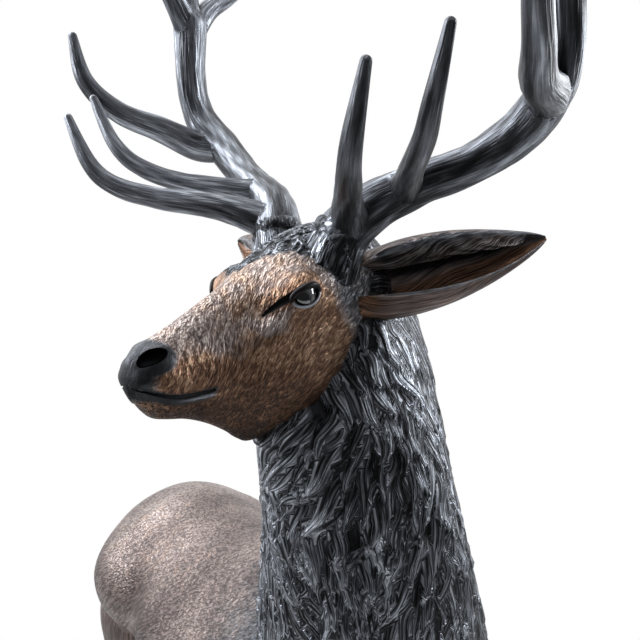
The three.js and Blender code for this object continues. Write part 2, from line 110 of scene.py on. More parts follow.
class Finish:
    """A material with one Principled shader; node() adds any node, sets it, then fills its sockets."""

    def __init__(self, name):
        self.material = bpy.data.materials.new(name)
        self.material.use_nodes = True
        self.tree = self.material.node_tree
        self.shader = self.tree.nodes["Principled BSDF"]

    def fill(self, socket, value):
        """Link a wire to a socket, or write a plain value into it."""
        if isinstance(value, Wire):
            self.tree.links.new(value.socket, socket)
        else:
            socket.default_value = value

    def node(self, kind, settings=None, sockets=None, output=0):
        """Add a node, give it its settings and its inputs, and hand back one of its outputs."""
        made = self.tree.nodes.new(kind)
        for name, value in (settings or {}).items():
            if name == "stops":
                ramp = made.color_ramp
                while len(ramp.elements) < len(value):
                    ramp.elements.new(0.5)
                for element, (position, colour) in zip(ramp.elements, value):
                    element.position = position
                    element.color = (*colour, 1)
            else:
                setattr(made, name, value)
        for name, value in (sockets or {}).items():
            self.fill(made.inputs[name], value)
        return Wire(self, made.outputs[output])

    def set(self, **values):
        """Fill the shader's own sockets; an underscore stands for the space in a name."""
        for name, value in values.items():
            self.fill(self.shader.inputs[name.replace("_", " ")], value)

    def noise(self, vector, scale, detail=2.0, roughness=0.5):
        """Soft lumps, from 0 to 1 and about 0.5 in the mean; a larger scale makes smaller lumps."""
        return self.node("ShaderNodeTexNoise", None,
                         {"Vector": vector, "Scale": scale, "Detail": detail, "Roughness": roughness})

    def stretched(self, vector, stretch):
        """A vector times a stretch, axis by axis: a small factor draws the noise out along that axis."""
        return self.node("ShaderNodeVectorMath", {"operation": "MULTIPLY"}, {0: vector, 1: stretch})

    def ramp(self, factor, *stops):
        """A colour that runs through the stops (position, colour) as the factor goes from 0 to 1."""
        return self.node("ShaderNodeValToRGB", {"stops": stops}, {0: factor})

    def fade(self, value, start, end, low=0.0, high=1.0):
        """Low before start, high after end, and smooth between."""
        return self.node("ShaderNodeMapRange", {"interpolation_type": "SMOOTHSTEP"},
                         {"Value": value, "From Min": start, "From Max": end, "To Min": low, "To Max": high})

    def mix(self, factor, first, second):
        """Two colours, mixed by a factor. The Mix node's colour sockets are numbers 6 and 7."""
        return self.node("ShaderNodeMix", {"data_type": "RGBA"}, {0: factor, 6: first, 7: second}, output=2)


print("helpers for finishes are ready")

# %% Floor and light
FLOOR_HALF = 1.9
floor_corners = [(x * FLOOR_HALF, y * FLOOR_HALF, 0) for x, y in ((-1, -1), (1, -1), (1, 1), (-1, 1))]
floor_mesh = bpy.data.meshes.new("floor")
floor_mesh.from_pydata(floor_corners, [], [(0, 1, 2, 3)])
floor = bpy.data.objects.new("floor", floor_mesh)
bpy.context.collection.objects.link(floor)
pale = Finish("pale_floor")
pale.set(Base_Color=(0.72, 0.72, 0.71, 1), Roughness=0.9)
floor_mesh.materials.append(pale.material)


def soft_light(name, place, aim, size, power, colour=(1, 1, 1)):
    """A square area light at a place, turned to face another."""
    lamp = bpy.data.lights.new(name, "AREA")
    lamp.size = size
    lamp.energy = power
    lamp.color = colour
    holder = bpy.data.objects.new(name, lamp)
    holder.location = place
    away = np.array(place, float) - np.array(aim, float)
    flat = math.hypot(away[0], away[1])
    holder.rotation_euler = (math.atan2(flat, away[2]), 0, math.atan2(away[1], away[0]) + math.pi / 2)
    bpy.context.collection.objects.link(holder)


soft_light("sky", (-1.4, 0.9, 4.4), (-0.2, -0.4, 1.6), 3.4, 180, (0.92, 0.96, 1.0))
soft_light("window", (-3.1, 1.1, 3.0), (-0.2, -0.5, 1.7), 2.2, 190, (0.93, 0.96, 1.0))
soft_light("side window", (3.0, -0.9, 2.7), (0, -0.4, 1.4), 2.0, 150, (0.92, 0.96, 1.0))
world = bpy.data.worlds.new("studio")
bpy.context.scene.world = world
world.use_nodes = True
nodes, links = world.node_tree.nodes, world.node_tree.links
# the studio is white to the camera; it lights the metal from above and from beyond, not from below
glow = nodes.new("ShaderNodeVectorMath")
glow.operation = "DOT_PRODUCT"
links.new(nodes.new("ShaderNodeTexCoord").outputs["Generated"], glow.inputs[0])
glow.inputs[1].default_value = tuple(0.30 * VIEW_AHEAD + 0.10 * VIEW_RIGHT + np.array([0, 0, 0.42]))
lifted = nodes.new("ShaderNodeMath")
lifted.operation = "ADD"
lifted.inputs[1].default_value = 0.5
links.new(glow.outputs["Value"], lifted.inputs[0])
sky = nodes.new("ShaderNodeValToRGB")
sky.color_ramp.elements.new(0.6)
for stop, (position, colour) in zip(sky.color_ramp.elements, ((0.34, (0.12, 0.12, 0.122, 1)),
                                                              (0.56, (0.62, 0.64, 0.67, 1)),
                                                              (0.92, (1.0, 1.0, 1.0, 1)))):
    stop.position = position
    stop.color = colour
links.new(lifted.outputs["Value"], sky.inputs["Fac"])
walls = nodes.new("ShaderNodeMix")
walls.data_type = "RGBA"
walls.inputs[7].default_value = (1, 1, 1, 1)
links.new(nodes.new("ShaderNodeLightPath").outputs["Is Camera Ray"], walls.inputs[0])
links.new(sky.outputs["Color"], walls.inputs[6])
links.new(walls.outputs[2], nodes["Background"].inputs["Color"])
bpy.context.scene.view_settings.view_transform = "Standard"
print("floor and lights are set")

# %% [markdown]
# ## The straight figure and its turned neck
# A sculptor sets a figure up on an armature. Ours is a row of stations: each joins a point of the
# back line to one of the belly line and gives three half-widths between them. A smooth curve through
# the stations makes the straight figure, and the neck is then turned section by section, so the head
# looks to the stag's right. Lengths are in millimetres until the mesh is made.

# %% Curves


def smoothstep(value, start, end):
    """0 before start, 1 after end, and 3t^2 - 2t^3 between."""
    t = np.clip((value - start) / (end - start), 0, 1)
    return t * t * (3 - 2 * t)


def lerp(first, second, share):
    """first + (second - first) share: the first value at share 0, the second at 1."""
    return first + (second - first) * share


def blend(a, b, c, d, t):
    """A uniform Catmull-Rom curve from b (t = 0) to c (t = 1)."""
    return 0.5 * (2 * b + (c - a) * t + (2 * a - 5 * b + 4 * c - d) * t * t
                  + (3 * b - a - 3 * c + d) * t * t * t)


def rows_at(table, places):
    """The rows of an open table at fractional places, on a Catmull-Rom curve through its rows."""
    table = np.asarray(table, float)
    first = np.clip(np.floor(places).astype(int), 0, len(table) - 2)
    near = [table[np.clip(first + k, 0, len(table) - 1)] for k in (-1, 0, 1, 2)]
    return blend(*near, (np.asarray(places) - first)[:, None])


def outlines(rows, shares):
    """Closed smooth curves through top, three side widths, underside and the same widths mirrored.

    rows holds [top forward, top height, under forward, under height, share, half, share, half,
    share, half]; shares run from 0 at the top, by the left flank, to 1. Gives (rows, shares, xyz).
    """
    nothing = np.zeros(len(rows))
    top = np.stack([nothing, -rows[:, 0], rows[:, 1]], -1)
    under = np.stack([nothing, -rows[:, 2], rows[:, 3]], -1)
    flank = []
    for column in (4, 6, 8):
        middle = lerp(top, under, rows[:, column, None])
        flank.append((middle, np.stack([rows[:, column + 1], nothing, nothing], -1)))
    left = [middle + half for middle, half in flank]
    right = [middle - half for middle, half in flank[::-1]]
    knots = np.stack([top, *left, under, *right], 1)
    at = np.asarray(shares) * 8
    first = np.floor(at).astype(int)
    near = [knots[:, (first + k) % 8] for k in (-1, 0, 1, 2)]
    return blend(*near, (at - first)[None, :, None])


print("half way between 1 and 3:", blend(0, 1, 3, 4, 0.5))

# %% Stations of the trunk and neck
# [top forward, top height, under forward, under height, then three (share of the way down, half)]
HEAD_FORWARD, HEAD_HEIGHT = 600, 1780
TRUNK = np.array([
    [-735, 1075, -738, 935, 0.25, 42, 0.5, 55, 0.75, 42],
    [-718, 1140, -728, 870, 0.2, 100, 0.5, 128, 0.8, 98],
    [-668, 1188, -695, 815, 0.18, 140, 0.5, 182, 0.82, 135],
    [-565, 1226, -600, 790, 0.15, 158, 0.48, 228, 0.85, 150],
    [-440, 1238, -470, 775, 0.15, 160, 0.46, 242, 0.85, 150],
    [-290, 1222, -320, 745, 0.14, 138, 0.5, 228, 0.86, 140],
    [-120, 1206, -140, 706, 0.13, 124, 0.53, 248, 0.88, 148],
    [60, 1214, 40, 676, 0.11, 104, 0.55, 252, 0.9, 140],
    [215, 1248, 205, 658, 0.1, 86, 0.52, 238, 0.9, 130],
    [290, 1276, 360, 684, 0.1, 88, 0.5, 222, 0.9, 122],
    [330, 1318, 478, 762, 0.12, 96, 0.5, 204, 0.88, 118],
    [345, 1378, 556, 884, 0.14, 98, 0.5, 184, 0.87, 114],
    [350, 1448, 600, 1024, 0.15, 96, 0.5, 166, 0.86, 108],
    [352, 1518, 624, 1164, 0.16, 92, 0.5, 150, 0.85, 100],
    [360, 1594, 634, 1298, 0.17, 86, 0.5, 134, 0.84, 88],
    [382, 1670, 644, 1410, 0.18, 76, 0.5, 118, 0.82, 74],
])
# The neck's sections go on inside the skull, from its own stations, measured from the head's origin.
POLL = np.array([
    [-172, -40, 62, -296, 0.2, 70, 0.48, 104, 0.8, 62],
    [-118, 2, 76, -285, 0.16, 62, 0.44, 94, 0.78, 52],
    [-62, 24, 84, -281, 0.13, 58, 0.4, 84, 0.75, 50],
    [-6, 22, 88, -278, 0.15, 60, 0.38, 82, 0.72, 52],
]) + np.array([HEAD_FORWARD, HEAD_HEIGHT, HEAD_FORWARD, HEAD_HEIGHT, 0, 0, 0, 0, 0, 0])
STATIONS = np.concatenate([TRUNK, POLL])
# The head itself is a loft along the muzzle, from the poll to the nose.
HEAD = np.array([
    [-128, -30, -112, -120, 0.25, 22, 0.5, 30, 0.75, 22],
    [-112, 0, -88, -190, 0.2, 48, 0.45, 62, 0.8, 42],
    [-80, 18, -46, -246, 0.15, 56, 0.42, 78, 0.75, 56],
    [-40, 25, 0, -272, 0.14, 58, 0.4, 81, 0.74, 56],
    [0, 20, 44, -279, 0.15, 60, 0.38, 81, 0.73, 53],
    [45, -4, 82, -276, 0.16, 62, 0.36, 80, 0.72, 50],
    [88, -34, 110, -266, 0.14, 58, 0.3, 75, 0.7, 45],
    [122, -60, 127, -256, 0.15, 39, 0.4, 56, 0.76, 38],
    [156, -84, 158, -243, 0.15, 27, 0.5, 44, 0.8, 31],
    [190, -106, 190, -235, 0.15, 23, 0.5, 38, 0.82, 28],
    [219, -124, 217, -233, 0.16, 22, 0.48, 36, 0.82, 27],
    [243, -138, 237, -230, 0.18, 24, 0.45, 35, 0.82, 22],
    [259, -148, 251, -221, 0.2, 23, 0.48, 32, 0.8, 18],
    [270, -160, 262, -210, 0.22, 17, 0.5, 25, 0.78, 15],
]) + np.array([HEAD_FORWARD, HEAD_HEIGHT, HEAD_FORWARD, HEAD_HEIGHT, 0, 0, 0, 0, 0, 0])
print(len(STATIONS), "stations from rump to poll,", len(HEAD), "along the muzzle")

# %% Turning the neck
HEAD_TURN = math.radians(71.5)
HEAD_ROLL = math.radians(-4.6)
TURN_STARTS, TURN_ENDS, LEAN = 8.5, 15.5, 80
NECK_TOP = 16


def turns_at(places):
    """A level turn to the right after a roll, both growing smoothly along the neck: (n, 3, 3)."""
    share = smoothstep(np.asarray(places, float), TURN_STARTS, TURN_ENDS)
    turn, roll = -HEAD_TURN * share, -HEAD_ROLL * share
    made = np.zeros((len(share), 3, 3))
    made[:, 0, 0] = np.cos(turn) * np.cos(roll)
    made[:, 0, 1] = -np.sin(turn)
    made[:, 0, 2] = np.cos(turn) * np.sin(roll)
    made[:, 1, 0] = np.sin(turn) * np.cos(roll)
    made[:, 1, 1] = np.cos(turn)
    made[:, 1, 2] = np.sin(turn) * np.sin(roll)
    made[:, 2, 0] = -np.sin(roll)
    made[:, 2, 2] = np.cos(roll)
    return made


def chord_middles(rows):
    """The middles of the chords between back line and belly line, in the figure's middle plane."""
    return np.stack([np.zeros(len(rows)), -(rows[:, 0] + rows[:, 2]) / 2, (rows[:, 1] + rows[:, 3]) / 2], -1)


# The middle line is summed in short steps, each turned as its own half-way place is.
path_places = np.linspace(0, len(STATIONS) - 1, (len(STATIONS) - 1) * 48 + 1)
path_straight = chord_middles(rows_at(STATIONS, path_places))
path_steps = np.einsum("nij,nj->ni", turns_at((path_places[1:] + path_places[:-1]) / 2),
                       np.diff(path_straight, axis=0))
path_middles = np.concatenate([path_straight[:1], path_straight[0] + np.cumsum(path_steps, axis=0)])
path_middles[:, 0] -= LEAN * smoothstep(path_places, TURN_STARTS, NECK_TOP)


def along_path(values, places):
    """Three numbers kept along the middle line, read at any places between by straight lines."""
    return np.stack([np.interp(places, path_places, values[:, axis]) for axis in range(3)], -1)


def carried(points, places):
    """Points (m, k, 3) of the straight figure, each row moved rigidly with its own section."""
    away = points - along_path(path_straight, places)[:, None]
    return np.einsum("mij,mkj->mki", turns_at(places), away) + along_path(path_middles, places)[:, None]


HEAD_MATRIX = turns_at([20.0])[0]
HEAD_SHIFT = path_middles[-1] - HEAD_MATRIX @ path_straight[-1]


def with_head(points):
    """Points of the straight figure (..., 3), moved rigidly with the head."""
    return points @ HEAD_MATRIX.T + HEAD_SHIFT


def at_head(places):
    """Places measured from the head's origin as (forward, left, up), in the turned figure."""
    p = np.asarray(places, float)
    return with_head(np.stack([p[..., 1], -(p[..., 0] + HEAD_FORWARD), p[..., 2] + HEAD_HEIGHT], -1))


def from_head(points):
    """Straight points as (forward, left, up) from the head's origin."""
    return np.stack([-points[..., 1] - HEAD_FORWARD, points[..., 0], points[..., 2] - HEAD_HEIGHT], -1)


print("the head's origin goes to", np.round(at_head([0, 0, 0])))

# %% Swells of bone and muscle
SWELLS = [  # ([forward, side, height], half sizes, raised by)
    ([684, 70, 1700], [44, 44, 34], 15),  # orbit
    ([666, 66, 1722], [44, 40, 20], 6),  # brow
    ([730, 56, 1680], [36, 38, 28], -6),  # hollow before the eye
    ([666, 64, 1584], [84, 70, 66], 10),  # cheek
    ([710, 62, 1644], [80, 50, 32], 4),  # cheekbone
    ([850, 34, 1628], [30, 30, 24], 8),  # flare of the nostril
    ([310, 236, 1020], [150, 130, 240], 17),  # shoulder
    ([-515, 232, 960], [200, 150, 240], 24),  # haunch
    ([-430, 168, 1190], [80, 90, 60], 8),  # point of the hip
    ([-320, 222, 960], [110, 120, 170], -18),  # flank
    ([60, 240, 1130], [130, 120, 80], -10),  # hollow behind the shoulder
]


def swell(points):
    """The sum over all patches of their rise times (1 - d^2)^2, d being 1 on the patch's edge."""
    total = np.zeros(points.shape[:-1])
    for (ahead, aside, height), halves, rise in SWELLS:
        away = np.stack([-points[..., 1] - ahead, np.abs(points[..., 0]) - aside,
                         points[..., 2] - height], -1) / halves
        total += rise * np.maximum(0, 1 - (away ** 2).sum(-1)) ** 2
    return total


def raised(points, middles, amount):
    """Points pushed away from their section's middle."""
    outward = points - middles[:, None]
    outward /= np.linalg.norm(outward, axis=-1, keepdims=True)
    return points + outward * amount[..., None]


print(len(SWELLS), "swells")

# %% [markdown]
# ## One skin from many shells
# A founder welds a statue from several castings and chases the seams away. We do the same: every
# limb, tine and lock-covered neck is a closed shell of rings, and a Boolean union welds the shells
# into one solid skin. Each point carries three notes through the weld: its *home*, its *grain* (a
# frame for the hair, whose third number runs along it) and its *coat* (brown, tone, hair).

# %% Shells
shells = []
MELT = {}


def grid_normals(points):
    """Unit normals of rings: the cross product of the steps along and around, turned outwards."""
    along = np.gradient(points, axis=0)
    around = np.roll(points, -1, 1) - np.roll(points, 1, 1)
    normals = np.cross(along, around)
    normals /= np.maximum(np.linalg.norm(normals, axis=-1, keepdims=True), 1e-9)
    outward = points - points.mean(1, keepdims=True)
    return normals * np.sign((normals * outward).sum())


def shell(name, points, grain, brown=0.0, tone=0.5, hair=0.5, melt=5.0, kind="skin"):
    """A closed shell of rings (m, k, 3) in millimetres, with a fan to the middle of each end ring."""
    rows, columns = points.shape[:2]
    parts = {"home": points, "grain": grain}
    parts["coat"] = np.stack(np.broadcast_arrays(brown, tone, hair, np.zeros((rows, columns)))[:3], -1)
    flat = {key: np.concatenate([np.broadcast_to(value, points.shape).reshape(-1, 3),
                                 value[:1].mean(1), value[-1:].mean(1)])
            for key, value in parts.items()}
    ring = np.arange((rows - 1) * columns).reshape(rows - 1, columns)
    after = np.roll(ring, -1, 1)
    quads = np.stack([ring, after, after + columns, ring + columns], -1).reshape(-1, 4)
    step = np.arange(columns)
    turn = np.roll(step, -1)
    last = (rows - 1) * columns
    first_fan = np.stack([np.full(columns, rows * columns), turn, step], -1)
    last_fan = np.stack([np.full(columns, rows * columns + 1), last + step, last + turn], -1)
    faces = quads.tolist() + first_fan.tolist() + last_fan.tolist()
    # faces that would point inwards are turned round, by the sign of the enclosed volume
    corners = (flat["home"] - flat["home"].mean(0))[quads]
    volume = (corners[:, 0] * np.cross(corners[:, 1], corners[:, 2])
              + corners[:, 0] * np.cross(corners[:, 2], corners[:, 3])).sum()
    if volume < 0:
        faces = [face[::-1] for face in faces]
    number = len(MELT)
    MELT[number] = melt
    shells.append({"name": name, "faces": faces, "number": number, "kind": kind, **flat})


print("a shell is a stack of rings")

# %% [markdown]
# ## Trunk
# The trunk is a loft through the stations from the rump to the chest. Under the mane it sinks and
# closes, so the mane's lowest locks stand proud of it.

# %% Trunk
TRUNK_COLUMNS = 96


def capped(rows, places, ends, steps=5):
    """Rows with extra shrinking ones after each end, as (rows, places, shrink, push) for a round cap."""
    angle = np.linspace(0, np.pi / 2, steps + 1)[1:] * 0.96
    shrink = np.concatenate([np.cos(angle)[::-1] if ends[0] else [], np.ones(len(rows)),
                             np.cos(angle) if ends[1] else []])
    push = np.concatenate([-np.sin(angle)[::-1] if ends[0] else [], np.zeros(len(rows)),
                           np.sin(angle) if ends[1] else []])
    before, after = (steps if ends[0] else 0), (steps if ends[1] else 0)
    pick = np.concatenate([np.zeros(before, int), np.arange(len(rows)), np.full(after, len(rows) - 1)])
    return rows[pick], np.asarray(places)[pick], shrink, push


def shrunk(points, shrink, push, reach):
    """Rings drawn towards their middles and pushed along the loft, which rounds its ends."""
    middles = points.mean(1, keepdims=True)
    ahead = np.gradient(points.mean(1), axis=0)
    first, last = np.argmax(push == 0), len(push) - 1 - np.argmax(push[::-1] == 0)
    ahead[:first] = ahead[first + 1]
    ahead[last + 1:] = ahead[last - 1]
    ahead /= np.linalg.norm(ahead, axis=-1, keepdims=True)
    return middles + (points - middles) * shrink[:, None, None] + (ahead * push[:, None] * reach)[:, None]


trunk_places = np.linspace(0, 10.4, 80)
rows, places, shrink, push = capped(rows_at(STATIONS, trunk_places), trunk_places, (True, False))
shares = np.arange(TRUNK_COLUMNS) / TRUNK_COLUMNS
straight = outlines(rows, shares)
straight = shrunk(straight, shrink, push, 16)
sink = -34 * smoothstep(places, 8.7, 9.9)
straight = raised(straight, chord_middles(rows), swell(straight) + sink[:, None])
trunk = carried(straight, places)
# hair lies backwards and down the flank, so the third number of its grain runs that way
backwards, downwards = straight[..., 1], straight[..., 2]
lie = np.radians(35)
trunk_grain = np.stack([straight[..., 0], downwards * np.cos(lie) + backwards * np.sin(lie),
                        backwards * np.cos(lie) - downwards * np.sin(lie)], -1)
fade_to_mane = smoothstep(places, 6.4, 9.0)[:, None]
trunk_brown = 0.40 * (1 - fade_to_mane) * np.ones_like(backwards)
bands = 0.05 * np.sin(backwards / 34 + 1.6 * np.sin(downwards / 80) + 0.8 * np.sin(downwards / 31))
# painted light on the top of the back and rump, made paler as if lit by the sky above
painted_sky_light_on_back = 0.14 * smoothstep(downwards, 1060, 1220) * smoothstep(places, 5.2, 3.4)[:, None]
shell("trunk", trunk, trunk_grain, brown=trunk_brown, tone=0.5 + bands + painted_sky_light_on_back, hair=0.5, melt=60)
print("trunk", trunk.shape[:2])

# %% [markdown]
# ## Mane
# The mane is the sculptor's show piece. Each lock is a curved leaf, low at its root and high at its
# tip, and every lock lies over the roots of those below it. So locks are placed first, then worked
# out one at a time on the neck's grid, and the highest one wins. Near the throat and on the breast
# they follow currents that sweep and turn back; on the nape they are long, fine and straight.

# %% Neck surface
NECK_COLUMNS = 230
FUR_LINE = np.array([  # the edge of the mane on the head: height, forward
    [-330, 118], [-278, 98], [-250, 50], [-224, -4], [-185, -26], [-144, -34], [-75, -42],
    [-20, -70], [30, -100],
])


def ahead_of_fur(head_places):
    """How far (forward) a place on the head lies in front of the mane's edge."""
    return head_places[..., 0] - np.interp(head_places[..., 2], FUR_LINE[:, 0], FUR_LINE[:, 1])


neck_places = np.concatenate([np.linspace(8.2, 8.9, 5)[:-1], np.arange(8.9, 17.6, 1 / 14),
                              np.linspace(17.65, 18.3, 6)])
rows = rows_at(STATIONS, neck_places)
shares = np.arange(NECK_COLUMNS) / NECK_COLUMNS
straight = outlines(rows, shares)
ahead = ahead_of_fur(from_head(straight))
sink = -15 * (1 - smoothstep(neck_places, 8.3, 9.3))[:, None]
under_head = smoothstep(neck_places, 15.2, 16.4)[:, None] * smoothstep(ahead, -6, 26)
sink = sink - 18 * under_head - 30 * smoothstep(neck_places, 17.6, 18.3)[:, None]
sink = sink + 4.5 * smoothstep(neck_places, 14.6, 15.8)[:, None] * (1 - under_head)
sink = sink - 13 * smoothstep(neck_places, 15.9, 16.6)[:, None] * np.exp(-((shares - 0.53) / 0.06) ** 2)
straight = raised(straight, chord_middles(rows), swell(straight) + sink)
neck = carried(straight, neck_places)
neck_normals = grid_normals(neck)
down_neck = -np.gradient(neck, axis=0)
down_neck /= np.linalg.norm(down_neck, axis=-1, keepdims=True)
print("neck", neck.shape[:2], "rows", round(float(np.linalg.norm(neck[60, 0] - neck[61, 0])), 1), "mm apart")

# %% Currents of the mane
# Seen from the front three-quarter side: [to the right, height above the base, angle from straight
# down towards the right in degrees]. Lengths in millimetres.
CURRENTS = np.array([
    [145, 1601, 30], [133, 1576, 26], [124, 1547, -50], [77, 1514, -38], [66, 1481, -45],
    [105, 1473, -42], [118, 1440, -44], [155, 1482, -24], [172, 1447, 24], [95, 1408, -20],
    [105, 1380, 14], [114, 1349, 26], [125, 1391, -8], [161, 1406, 30], [69, 1366, 44],
    [46, 1328, 38], [36, 1414, 24], [203, 1477, 8], [244, 1518, 27], [265, 1440, 18],
    [226, 1421, -24], [185, 1344, -40], [265, 1351, 4], [209, 1356, -34], [295, 1285, -16],
    [49, 1283, 30], [111, 1293, 10], [226, 1273, -24], [0, 1240, 30], [120, 1180, 6],
    [250, 1180, -10], [20, 1120, 14],
])
CURRENT_REACH = 38


def lie_of_mane(points, normals, down, share):
    """The direction of hair at places of the neck: a unit tangent.

    On the front three-quarter side it is a weighted mean of the currents, each weighing
    exp(-d^2 / reach^2); elsewhere it runs down the neck with a slow wave.
    """
    plane = np.stack([points @ VIEW_RIGHT, points[:, 2]], -1)
    apart = ((plane[:, None] - CURRENTS[None, :, :2]) ** 2).sum(-1)
    weight = np.exp(-apart / CURRENT_REACH ** 2) + 1e-9
    angle = np.radians(CURRENTS[:, 2])
    east = (weight * np.sin(angle)).sum(1) / weight.sum(1)
    south = (weight * np.cos(angle)).sum(1) / weight.sum(1)
    shown = east[:, None] * VIEW_RIGHT - south[:, None] * np.array([0, 0, 1.0])
    beside = np.cross(normals, down)
    off_nape = smoothstep(np.cos(2 * np.pi * share), 0.9, 0.1)
    wave = 0.45 * np.sin(2 * np.pi * (3 * share + points[:, 2] / 260)) * off_nape
    plain = down * np.cos(wave)[:, None] + beside * np.sin(wave)[:, None]
    faces_front = smoothstep(-(normals @ VIEW_AHEAD), 0.02, 0.4)[:, None]
    near_current = smoothstep(np.sqrt(apart.min(1)), 90, 50)[:, None]
    lie = lerp(plain, shown, faces_front * near_current)
    lie -= (lie * normals).sum(1, keepdims=True) * normals
    return lie / np.linalg.norm(lie, axis=-1, keepdims=True)


print(len(CURRENTS), "currents")

# %% Placing locks


def scattered(points, spacing, tries, seed):
    """Seeded dart throwing on a grid: (row, column) of places at least spacing[row, column] apart."""
    dice = np.random.default_rng(seed)
    picks = np.stack([dice.integers(0, points.shape[0], tries), dice.integers(0, points.shape[1], tries)], -1)
    kept, places = [], np.empty((0, 3))
    for row, column in picks:
        gap = spacing[row, column]
        place = points[row, column]
        if gap > 0 and not (((places - place) ** 2).sum(-1) < gap * gap).any():
            kept.append((row, column))
            places = np.concatenate([places, place[None]])
    return np.array(kept)


def laid_locks(points, normals, roots, lies, lengths, halves, rises, bends, sways):
    """Relief of overlapping locks on a grid, with the place of each point in its own lock.

    In a lock's own frame, s runs from root (0) to tip (1) and t across it, both bent sideways by
    bend s^2 + sway sin(2 pi s). Its half width is w = half (1 - s^2.6)^0.8, its height
    rise (0.3 + 0.7 s^0.7) (1 - (t / w)^2)^0.45, and where locks meet the highest is kept.
    """
    rows, columns = points.shape[:2]
    height = np.zeros((rows, columns))
    frame_of_hair = np.zeros((rows, columns, 3))
    row_step = np.linalg.norm(np.gradient(points, axis=0), axis=-1)
    column_step = np.linalg.norm(np.roll(points, -1, 1) - points, axis=-1)
    dice = np.random.default_rng(5)
    for (row, column), lie, length, half, rise, bend, sway in zip(
            roots, lies, lengths, halves, rises, bends, sways):
        beside = np.cross(normals[row, column], lie)
        reach_rows = int(1.25 * length / max(row_step[row, column], 0.5)) + 3
        reach_columns = int(1.15 * length / max(column_step[row, column], 0.5)) + 3
        window = (np.arange(max(0, row - reach_rows), min(rows, row + reach_rows))[:, None],
                  (column + np.arange(-reach_columns, reach_columns + 1))[None] % columns)
        away = points[window] - points[row, column]
        s = (away @ lie) / length
        t = away @ beside - length * (bend * s * s + 0.12 * sway * np.sin(2 * np.pi * s))
        w = half * np.clip(1 - np.clip(s, 0, 1) ** 2.6, 0, 1) ** 0.8 * smoothstep(s, -0.12, 0.14)
        inside = (s > -0.12) & (s < 1) & (np.abs(t) < w)
        across = np.where(inside, t / np.maximum(w, 1e-6), 0)
        bulge = (0.3 + 0.7 * np.clip(s, 0, 1) ** 0.7) * np.clip(1 - across ** 2, 0, 1) ** 0.45
        # each lock holds a few thick strands
        bulge *= 1 + 0.13 * np.cos(across * np.pi * 2.5 + sway * 3) * (1 - across ** 2)
        here = np.where(inside, rise * bulge, 0)
        wins = here > height[window]
        shift = dice.uniform(-3, 3)
        place = np.stack([across * half + shift, np.full_like(s, shift), s * length], -1)
        height[window] = np.where(wins, here, height[window])
        frame_of_hair[window] = np.where(wins[..., None], place, frame_of_hair[window])
    return height, frame_of_hair


share_grid = np.broadcast_to(shares, neck.shape[:2])
place_grid = np.broadcast_to(neck_places[:, None], neck.shape[:2])
nape = smoothstep(np.cos(2 * np.pi * share_grid), 0.1, 0.75)
covered = (place_grid > 8.75) & (place_grid < 17.75)
spacing = np.where(covered, lerp(21.0, 18.0, nape), -1.0)
roots = scattered(neck, spacing, 16000, seed=11)
at = tuple(roots.T)
dice = np.random.default_rng(3)
count = len(roots)
lies = lie_of_mane(neck[at], neck_normals[at], down_neck[at], share_grid[at])
twist = dice.normal(0, 0.14, count)[:, None] * (1 - 0.6 * nape[at][:, None])
lies = lies * np.cos(twist) + np.cross(neck_normals[at], lies) * np.sin(twist)
lengths = lerp(dice.uniform(70, 108, count), dice.uniform(100, 150, count), nape[at])
lengths *= lerp(1.0, 0.55, smoothstep(place_grid[at], 15.6, 17.4) * (1 - nape[at]))
halves = lerp(dice.uniform(14, 24, count), dice.uniform(10, 14, count), nape[at])
halves *= lerp(1.0, 0.7, smoothstep(place_grid[at], 15.6, 17.4))
rises = lerp(dice.uniform(9.0, 13.5, count), dice.uniform(6, 9, count), nape[at])
rises *= lerp(1.0, 0.6, smoothstep(place_grid[at], 15.8, 17.4))
bends = dice.normal(0, 0.2, count) * (1 - 0.7 * nape[at])
sways = dice.normal(0, 0.5, count) * (1 - 0.7 * nape[at])
relief, neck_grain = laid_locks(neck, neck_normals, roots, lies, lengths, halves, rises, bends, sways)
print(count, "locks, relief up to", round(float(relief.max()), 1), "mm")

# %% Neck shell
hidden = smoothstep(place_grid, 8.3, 8.9) * (1 - smoothstep(place_grid, 17.5, 17.9))
MANE_SUNK = 7.5 * lerp(1.0, 0.5, smoothstep(place_grid, 15.6, 17.2))
neck = neck + neck_normals * ((relief - MANE_SUNK) * hidden)[..., None]
# the locks' relief sets the tone: dark patina and painted shade in the creases, a painted highlight on the
# raised locks; the upper neck by the head is painted 0.17 paler, lifting the shadow the head casts
neck_tone = np.clip(0.10 + relief / 14 + 0.17 * smoothstep(place_grid, 14.8, 16.6), 0, 0.95)
shell("mane", neck, neck_grain, brown=0.0, tone=neck_tone, hair=1.0, melt=4)

# %% [markdown]
# ## Head
# The head is lofted along the muzzle, so its rings cross the bone as a sculptor's sections do. The
# same swells that shape the solid raise the orbit, brow and cheek. The forehead is covered with short
# curls, made like the mane's locks but small, and finer towards the nose.

